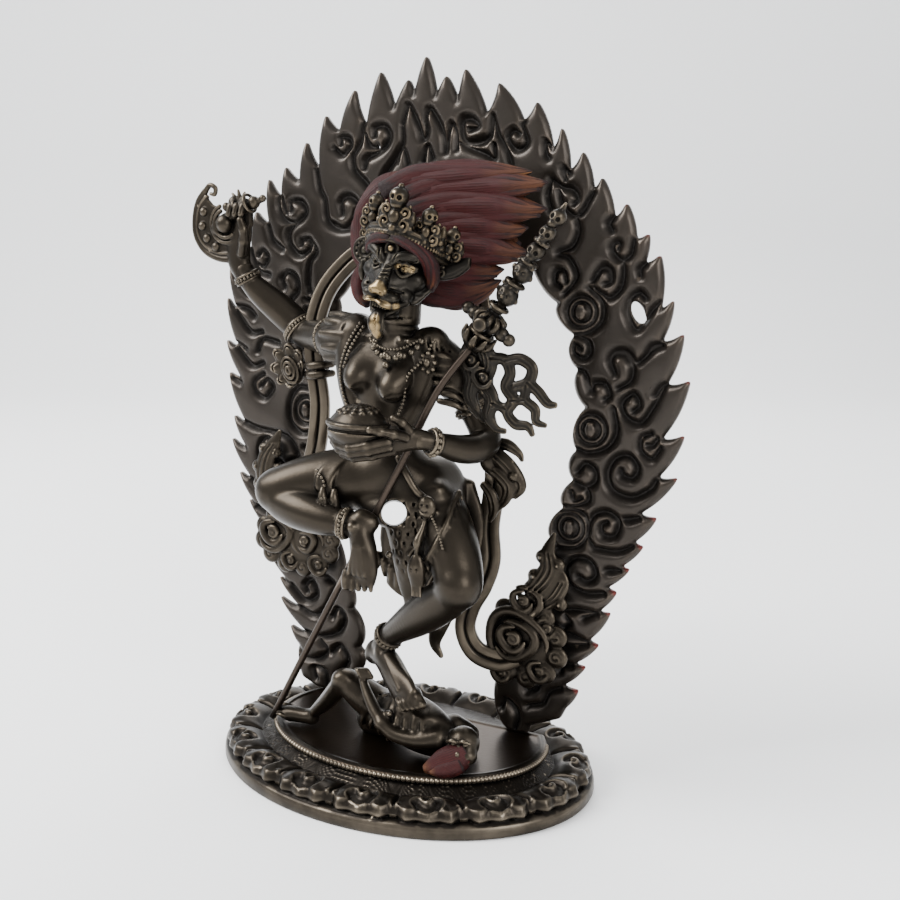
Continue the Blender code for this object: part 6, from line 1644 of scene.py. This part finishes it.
# Carved strokes on the front: rows of x, z and half width
CARVING = (
    ((64, 179, 0.5), (62.5, 177, 0.7), (63.5, 175, 0.4)),
    ((70.5, 172.5, 0.3), (69.5, 168, 0.4), (66.5, 166.5, 0.6), (64, 169, 0.6), (64, 171, 0.5),
     (66, 171.5, 0.3), (65.5, 169.5, 0.3)),
    ((67, 166.5, 0.4), (67.5, 162.5, 0.5), (66.5, 158, 0.6), (63.5, 155.5, 0.5), (61, 156.5, 0.4),
     (58.5, 158, 0.3)),
    ((58, 160.5, 0.3), (60.5, 164, 0.7), (63, 163.5, 0.8), (63.5, 160.5, 0.6), (62, 159.5, 0.3)),
    ((74, 165.5, 0.5), (72.5, 164, 0.6), (72.5, 162, 0.4)),
    ((79.5, 155, 0.3), (77, 152.5, 0.5), (75.5, 150.5, 0.5), (72.5, 146.5, 0.5), (70.5, 147.5, 0.7),
     (69, 151.5, 0.8), (70, 155.5, 0.7), (72.5, 157, 0.6), (74.5, 155.5, 0.3)),
    ((79.5, 142, 0.7), (77, 141, 0.9), (75, 138.5, 0.5), (72, 136.5, 0.6), (69, 139, 0.9), (65.5, 139, 0.8),
     (64, 136.5, 0.7), (65.5, 133, 0.3)),
    ((69, 138.5, 0.7), (71, 135.5, 0.7), (70.5, 131, 0.5), (67, 128.5, 0.3)),
    ((81.5, 130.5, 0.5), (80, 129.5, 0.6), (78.5, 127, 0.6)),
    ((49.5, 192, 0.6), (48, 193, 0.6), (48.5, 190, 0.3)),
    ((44.5, 190, 0.3), (47.5, 188, 0.6), (51, 187, 0.6), (52.5, 184.5, 0.5), (51.5, 183, 0.3)),
    ((57.5, 186, 0.3), (56, 183.5, 0.4), (54, 180.5, 0.5), (51.5, 179.5, 0.4), (48, 182.5, 0.3),
     (46.5, 187, 0.3)),
    ((52, 179.5, 0.4), (53, 175, 0.5), (51, 170.5, 0.5), (46.5, 168.5, 0.4), (50, 167, 0.4),
     (52.5, 162.5, 0.5), (52, 160, 0.3), (49, 156.5, 0.3)),
    ((49.5, 160, 0.3), (48.5, 163, 0.3), (46, 163, 0.5), (45.5, 160, 0.5), (47.5, 158.5, 0.3)),
    ((57, 158, 0.4), (61, 154, 0.6), (61, 148.5, 0.6), (57, 145, 0.6), (52.5, 144, 0.3)),
    ((52.5, 144, 0.3), (56.5, 142.5, 0.5), (57.5, 139, 0.6), (55.5, 137, 0.4), (52.5, 138.5, 0.3),
     (52.5, 141, 0.3), (54.5, 140, 0.3)),
    ((54, 133.5, 0.3), (56, 132.5, 0.3), (58, 127.5, 0.6), (59, 129.5, 0.5), (62.5, 129.5, 0.5),
     (64, 126.5, 0.5), (63, 125, 0.4)),
    ((65.5, 122, 0.5), (66.5, 115, 0.6), (63.5, 110, 0.6), (58, 108, 0.5), (54, 109, 0.3)),
    ((81, 130, 0.4), (79.5, 127, 0.4), (77.5, 123, 0.4), (74, 118.5, 0.6), (69.5, 120, 0.6), (68, 124, 0.6),
     (71.5, 127, 0.6), (73.5, 124, 0.5), (72, 122, 0.3)),
    ((79.5, 114, 0.4), (78, 112, 0.6), (76.5, 112, 0.3)),
    ((80.5, 111.5, 0.3), (78, 108, 0.3), (74.5, 110, 0.4), (74.5, 114, 0.4), (77.5, 115.5, 0.3)),
    ((79.5, 101.5, 0.4), (77.5, 98.5, 0.5), (72, 95.5, 0.6), (66, 97, 0.7), (64, 102, 0.7),
     (66.5, 107, 0.6), (71, 108, 0.6), (73.5, 104.5, 0.6), (72, 101.5, 0.5), (69, 102, 0.5),
     (68.5, 103.5, 0.3)),
    ((54.5, 102, 0.3), (57, 104.5, 0.5), (60, 102.5, 0.6), (60, 99, 0.6), (56.5, 97, 0.4),
     (53.5, 98.5, 0.3)),
    ((50.5, 90, 0.3), (54.5, 91, 0.4), (58, 93, 0.5), (57.5, 96.5, 0.5), (54.5, 98, 0.3),
     (53.5, 98.5, 0.3)),
    ((52.5, 95, 0.4), (53.5, 92.5, 0.4), (56, 93.5, 0.3)),
    ((47, 88, 0.3), (53.5, 89.5, 0.5), (57.5, 87.5, 0.5), (58, 82, 0.5), (54.5, 77.5, 0.4),
     (48, 76.5, 0.4)),
    ((60.5, 78, 0.3), (58, 82, 0.4), (59.5, 88, 0.5), (64, 90, 0.6), (68, 87.5, 0.7), (67, 83, 0.5),
     (63.5, 82.5, 0.5), (62.5, 85.5, 0.4), (64.5, 87, 0.3)),
    ((74.5, 89.5, 0.4), (71.5, 88.5, 0.6), (70, 88.5, 0.4)),
    ((73, 80.5, 0.3), (68, 78, 0.4), (61, 78, 0.3)),
    ((64, 64, 0.4), (58.5, 63, 0.5), (52.5, 65, 0.5), (51, 70.5, 0.5), (54.5, 74, 0.5), (59, 73.5, 0.5),
     (61, 69.5, 0.6), (58.5, 67, 0.5), (55.5, 68, 0.3)),
    ((69, 72, 0.4), (65.5, 71.5, 0.6), (64.5, 71.5, 0.3)),
    ((61.5, 57, 0.3), (57.5, 55, 0.5)),
    ((59, 46.5, 0.3), (53, 44.5, 0.4), (47, 44, 0.3)),
    ((51, 55, 0.3), (52.5, 52.5, 0.3), (51, 50.5, 0.3)),
    ((54, 38.5, 0.4), (50.5, 38, 0.6), (50, 36, 0.3)),
    ((50.5, 30, 0.3), (46, 27.5, 0.4), (44, 23.5, 0.3), (39, 21.5, 0.3)),
    ((37.5, 31, 0.3), (38.5, 26.5, 0.4), (42, 28.5, 0.3), (42, 31.5, 0.3)),
    ((-21.5, 212.5, 0.3), (-22.5, 208.5, 0.4), (-23.5, 204, 0.5), (-26.5, 200, 0.6), (-26, 195.5, 0.6),
     (-22, 191.5, 0.6), (-19.5, 188.5, 0.4)),
    ((-18, 206, 0.3), (-17.5, 208.5, 0.5), (-14, 208.5, 0.6), (-12.5, 205.5, 0.7), (-14, 202.5, 0.6),
     (-17.5, 200.5, 0.6), (-21, 199, 0.6), (-22, 196, 0.3)),
    ((-22, 206.5, 0.3), (-20, 203, 0.4), (-17, 202, 0.5)),
    ((-31, 204, 0.3), (-31, 206, 0.3), (-28, 205.5, 0.5), (-27.5, 203, 0.5), (-30.5, 200.5, 0.4),
     (-33.5, 202.5, 0.3)),
    ((-7.5, 209, 0.3), (-6, 213, 0.3), (-5, 214.5, 0.3), (-2, 209, 0.5), (0, 204, 0.6), (1.5, 206.5, 0.4),
     (1, 210, 0.3), (2.5, 213, 0.4), (5.5, 209, 0.5), (7.5, 204.5, 0.4), (8, 200, 0.5), (9, 205, 0.3),
     (10.5, 208, 0.3), (12, 205, 0.3), (12, 200.5, 0.3)),
    ((-7.5, 208, 0.3), (-7.5, 203, 0.4), (-10.5, 198, 0.5), (-13.5, 194.5, 0.6), (-15.5, 191, 0.5)),
    ((-10, 197.5, 0.3), (-7.5, 201.5, 0.3), (-5.5, 196.5, 0.3)),
    ((0, 197, 0.3), (1.5, 202, 0.3), (3.5, 198, 0.3)),
    ((17, 206, 0.3), (19.5, 207, 0.3), (17.5, 209, 0.6), (14.5, 209, 0.7), (13.5, 206, 0.8),
     (15, 202.5, 0.8), (19.5, 202, 0.8), (23.5, 204, 0.6), (24.5, 209.5, 0.3)),
    ((12.5, 202.5, 0.3), (17, 200.5, 0.5), (22, 198.5, 0.4), (25, 197, 0.3), (25, 201, 0.3)),
    ((24.5, 209, 0.3), (26, 204.5, 0.4), (28.5, 200.5, 0.4), (30, 197, 0.5), (31, 194, 0.3)),
    ((33.5, 204, 0.3), (31.5, 205, 0.4), (29.5, 203, 0.5), (31.5, 200, 0.5), (34, 199.5, 0.4),
     (36, 201.5, 0.4), (34.5, 206, 0.3), (35, 207.5, 0.3)),
    ((43.5, 200, 0.4), (42, 201, 0.5), (42, 198, 0.5), (43, 196.5, 0.3)),
    ((-31, 181.5, 0.3), (-31.5, 185.5, 0.6), (-28.5, 187, 0.7), (-25, 184.5, 0.5), (-26.5, 179.5, 0.3),
     (-30.5, 176.5, 0.5), (-35, 178.5, 0.3)),
    ((44, 190, 0.3), (43, 185.5, 0.4), (44, 181.5, 0.4)),
    ((-52, 183, 0.3), (-52, 186, 0.3), (-47.5, 185.5, 0.6), (-46, 182, 0.6), (-49.5, 179, 0.4),
     (-54, 179.5, 0.4), (-57, 183.5, 0.4), (-57, 188, 0.3)),
    ((-49.5, 179, 0.4), (-53, 176, 0.6), (-53, 171.5, 0.7), (-49, 168, 0.6), (-44.5, 170, 0.4),
     (-44.5, 173, 0.4), (-47.5, 173, 0.3), (-48, 171.5, 0.3)),
    ((-44, 172.5, 0.3), (-42, 169, 0.4), (-44.5, 165.5, 0.4), (-45.5, 159, 0.5), (-45, 155.5, 0.4)),
    ((-41, 196, 0.3), (-40, 190, 0.4), (-38, 186, 0.4), (-37, 179.5, 0.6), (-32.5, 176.5, 0.5),
     (-28, 176.5, 0.4)),
    ((-66.5, 168, 0.3), (-64.5, 169.5, 0.3), (-62.5, 167, 0.4), (-64.5, 164, 0.4), (-67, 164.5, 0.3)),
    ((-55.5, 157, 0.3), (-56.5, 159.5, 0.4), (-54.5, 162, 0.4), (-51, 160.5, 0.6), (-50, 156, 0.5),
     (-53, 152.5, 0.4)),
    ((-69, 146.5, 0.5), (-72, 149, 0.6), (-77.5, 150, 0.3)),
    ((-73.5, 134.5, 0.4), (-77.5, 136.5, 0.4), (-81.5, 137.5, 0.3)),
    ((-76.5, 122.5, 0.4), (-80, 124, 0.4)),
    ((-59, 137.5, 0.4), (-65.5, 138.5, 0.4), (-68, 134.5, 0.4)),
    ((-67, 122, 0.3), (-64.5, 124, 0.4), (-62, 121.5, 0.5), (-65.5, 117.5, 0.4), (-69.5, 119.5, 0.4),
     (-70, 123.5, 0.4), (-66, 126, 0.4)),
    ((-66, 91, 0.4), (-69, 98, 0.4), (-66, 103, 0.5), (-62, 100, 0.5), (-64, 96, 0.4), (-66, 98, 0.3)),
    ((-73, 87, 0.4), (-66, 83, 0.5), (-60, 84, 0.5), (-57, 90, 0.5), (-60, 95, 0.4), (-63, 91, 0.3)),
    ((-75, 108, 0.4), (-69, 106, 0.5), (-60, 105, 0.4), (-55, 103, 0.4), (-52, 98, 0.5), (-55, 95, 0.4)),
    ((-49, 101, 0.3), (-45, 99, 0.5), (-46, 94, 0.5), (-50, 94, 0.3)),
    ((-71, 77, 0.4), (-64, 75, 0.5), (-58, 77, 0.5), (-53, 82, 0.4), (-48, 79, 0.5), (-50, 74, 0.4)),
    ((-66, 68, 0.4), (-58, 67, 0.5), (-51, 70, 0.5), (-48, 66, 0.5), (-51, 62, 0.5), (-54, 64, 0.3)),
    ((-61, 58, 0.4), (-53, 57, 0.5), (-45, 60, 0.5), (-41, 66, 0.4)),
    ((-56, 49, 0.4), (-50, 44, 0.5), (-45, 47, 0.5), (-47, 52, 0.5), (-50, 50, 0.4), (-49, 48, 0.3)),
    ((-52, 41, 0.4), (-46, 39, 0.5), (-40, 43, 0.5), (-37, 51, 0.5), (-40, 54, 0.4)),
    ((-50, 32, 0.4), (-44, 31, 0.5), (-36, 34, 0.5), (-33, 40, 0.5), (-36, 43, 0.4), (-38, 40, 0.3)),
    ((-53, 22, 0.3), (-46, 22, 0.5), (-41, 26, 0.5), (-44, 30, 0.4)),
    ((-36, 18, 0.3), (-32, 24, 0.5), (-35, 29, 0.5), (-39, 26, 0.3)),
    ((-41, 12, 0.3), (-42, 18, 0.5), (-47, 19, 0.4), (-46, 15, 0.3)),
    ((34, 12, 0.3), (35, 18, 0.5), (31, 22, 0.5), (29, 19, 0.4)),
    ((62, 57, 0.3), (55, 57, 0.5), (48, 56, 0.5), (44, 60, 0.5), (47, 65, 0.5), (50, 62, 0.3)),
    ((59, 47, 0.3), (50, 49, 0.4), (42, 46, 0.5), (38, 50, 0.4)),
    ((46, 36, 0.4), (40, 38, 0.5), (34, 34, 0.5), (33, 40, 0.4)),
    ((35, 55, 0.4), (41, 58, 0.5), (42, 63, 0.4)),
    ((-43, 131, 0.3), (-48, 130, 0.5), (-50, 135, 0.5), (-46, 138, 0.4)),
    ((-40, 146, 0.3), (-44, 143, 0.5), (-48, 146, 0.5), (-46, 150, 0.4)),
    ((-46, 122, 0.3), (-51, 122, 0.5), (-54.5, 117, 0.5), (-54.5, 110, 0.5), (-50, 106, 0.4),
     (-45, 107, 0.3)),
    ((-77, 148, 0.4), (-71, 141, 0.4), (-66, 141, 0.4)),
    ((-77, 135, 0.4), (-71, 129, 0.4), (-66, 130, 0.4)),
    ((-62, 178, 0.4), (-60, 173, 0.4), (-56, 170, 0.4)),
    ((-70, 170, 0.4), (-67, 163, 0.4), (-62, 161, 0.4)),
    ((-75, 158, 0.4), (-70, 154, 0.5), (-65, 155, 0.4)),
    ((-56, 187, 0.4), (-54, 182, 0.3)),
    ((-38, 158, 0.4), (-41, 152, 0.4), (-46, 153, 0.3)),
)
JEWELS = ((54.5, 151), (58.4, 115.3), (52, 83.6), (-47.6, 114))


def aureole():
    step = RING_STEP
    low = np.array((-90.0, 13.4, 10.4))
    shape = [int(v / step) + 2 for v in (181.5, 6.0, 221.0)]
    x = low[0] + step * np.arange(shape[0])[:, None]
    z = low[2] + step * np.arange(shape[2])[None, :]
    sx, sz = x + z * 0, z + x * 0

    def tongue(a, tip, b, hand):
        a, tip, b = (np.array(v, float) for v in (a, tip, b))
        top = abs(tip[0]) < 20
        out = []
        for p, q, bow in ((a, tip, 0.10 if top else -0.13), (tip, b, 0.10 if top else 0.14)):
            d = q - p
            n = np.array((-d[1], d[0])) * hand
            c = (p + q) / 2 + n * bow
            t = np.linspace(0, 1, 9)[:-1, None]
            out.append(p * (1 - t) ** 2 + 2 * c * t * (1 - t) + q * t ** 2)
        return out

    edge = []
    for i in range(0, len(SCALLOPS) - 2, 2):
        a, m, b = (np.array(v, float) for v in SCALLOPS[i:i + 3])
        t = np.linspace(0, 1, 15)[:-1, None]
        c = 2 * m - (a + b) / 2
        w = np.where(t < 0.5, t * 2, 2 - t * 2)
        edge.append((a * (1 - t) ** 2 + 2 * c * t * (1 - t) + b * t ** 2) * 0.5 + 0.5 * (
            a * (1 - t) + b * t + (m - (a + b) / 2) * np.sqrt(np.clip(1 - (1 - w) ** 2, 0, 1))))
    edge.append(np.array([(-40, 11.4), (-46, 11.4), (-52.6, 14)]))
    outer_left = []
    for i, tip in enumerate(TIPS_LEFT):
        outer_left += tongue(VALLEYS_LEFT[i], tip, VALLEYS_LEFT[i + 1], -1)
    edge.append(np.vstack(outer_left)[::-1])
    outer = tongue(VALLEYS_LEFT[0], TIPS_RIGHT[0], VALLEYS_RIGHT[0], 1)
    for i in range(1, len(TIPS_RIGHT)):
        outer += tongue(VALLEYS_RIGHT[i - 1], TIPS_RIGHT[i], VALLEYS_RIGHT[i], 1)
    edge.append(np.vstack(outer))
    edge.append(np.array([(51.8, 23), (50, 19.2), (44, 16.5), (39.2, 14.4), (38.4, 11.4)]))
    loop = np.vstack(edge)
    loops = [loop]
    for cx, cz, rx, rz, turn in ((72, 151.3, 2.0, 3.6, 28), (-17, 202.5, 0.8, 0.7, 0)):
        a = np.linspace(0, 2 * math.pi, 25)[:-1]
        u, v = rx * np.cos(a), rz * np.sin(a)
        r = math.radians(turn)
        loops.append(np.stack([cx + u * math.cos(r) - v * math.sin(r),
                               cz + u * math.sin(r) + v * math.cos(r)], 1))
    inside = np.zeros(shape[0::2], bool)
    rim = np.full(shape[0::2], 6.0)

    def stroke(field, rows, reach, width):
        for (ax, az, aw), (bx, bz, bw) in zip(rows[:-1], rows[1:]):
            i0, i1 = (int(v) for v in ((min(ax, bx) - reach - low[0]) / step,
                                       (max(ax, bx) + reach - low[0]) / step + 2))
            j0, j1 = (int(v) for v in ((min(az, bz) - reach - low[2]) / step,
                                       (max(az, bz) + reach - low[2]) / step + 2))
            i0, j0 = max(i0, 0), max(j0, 0)
            w = (slice(i0, i1), slice(j0, j1))
            px, pz = sx[w] - ax, sz[w] - az
            dx, dz = bx - ax, bz - az
            t = np.clip((px * dx + pz * dz) / (dx * dx + dz * dz + 1e-9), 0, 1)
            d = np.hypot(px - t * dx, pz - t * dz) - (aw + (bw - aw) * t) * width
            field[w] = np.minimum(field[w], d)

    for ring in loops:
        closed = np.vstack([ring, ring[:1]])
        stroke(rim, np.column_stack([closed, np.zeros(len(closed))]), 5, 0)
        for (ax, az), (bx, bz) in zip(closed[:-1], closed[1:]):
            if az == bz:
                continue
            j = (z[0] >= min(az, bz)) & (z[0] < max(az, bz))
            at = ax + (z[0][j] - az) * (bx - ax) / (bz - az)
            inside[:, j] ^= x < at[None, :]
    flat = np.where(inside, -rim, rim)
    for _ in range(3):
        for axis in (0, 1):
            flat = (np.roll(flat, 1, axis) + np.roll(flat, -1, axis) + flat) / 3
    rim = np.abs(flat)
    cut = np.full(shape[0::2], 6.0)
    for rows in CARVING:
        stroke(cut, curve(rows, 5), 5.5, 1.25)
    for cx, cz in JEWELS:
        r = np.hypot(sx - cx, sz - cz)
        cut = np.minimum(cut, np.abs(r - 4.7) - 0.5)
        cut = np.minimum(cut, np.abs(r - 2.9) - 0.35)
    near = np.minimum(rim, np.maximum(cut, 0))
    wave = 0.22 * np.sin(sx * 0.31 + 1.3 * np.sin(sz * 0.23)) * np.cos(sz * 0.27)
    front = (RING_FRONT + GROOVE_DEEP * np.exp(-(near / GROOVE_WIDE) ** 1.5)
             + DISH_DEEP * np.exp(-near / DISH_WIDE)
             + WAVE_DEEP * wave * (1 - np.exp(-near / 2)))
    front = front + 0.9 * np.clip(-cut / 0.7, 0, 1) ** 0.7
    back = RING_BACK - 0.8 * np.exp(-rim / 0.7) - 0.5 * np.exp(-np.maximum(cut, 0) / 0.8) * (rim > 0.8)
    for cx, cz in JEWELS:
        bud = 1 - ((sx - cx) / 1.75) ** 2 - ((sz - cz) / 2.4) ** 2
        cap = 1 - ((sx - cx) / 1.2) ** 2 - ((sz - cz - 1.7) / 0.8) ** 2
        front = np.where(bud > 0, np.minimum(front, 15.2 - 1.25 * np.sqrt(np.clip(bud, 0, 1))), front)
        front = np.where(cap > 0, np.minimum(front, 14.5 - 0.55 * np.sqrt(np.clip(cap, 0, 1))), front)
    clay = Clay(low, low + step * (np.array(shape) - 1), step)
    y = (clay.low[1] + step * np.arange(clay.n[1]))[None, :, None]
    n = clay.n
    flat, front, back = (v[:n[0], :n[2]][:, None, :] for v in (flat, front, back))
    clay.d = np.maximum(flat, np.maximum(front - y, y - back)).astype(np.float32)
    piece = cast("flame_ring", clay, RING_METAL, RING_TRIANGLES)
    red = [(px, pz) for px, pz in TIPS_RIGHT if pz < RED_BELOW]
    tint(piece, [(px - 0.6, 17, pz + 0.2, 1.7) for px, pz in red]
         + [(px - 1.6, 18, pz - 1.6, 1.8) for px, pz in red])
    finish_piece(piece, "brown_bronze", "flame_aureole")


aureole()
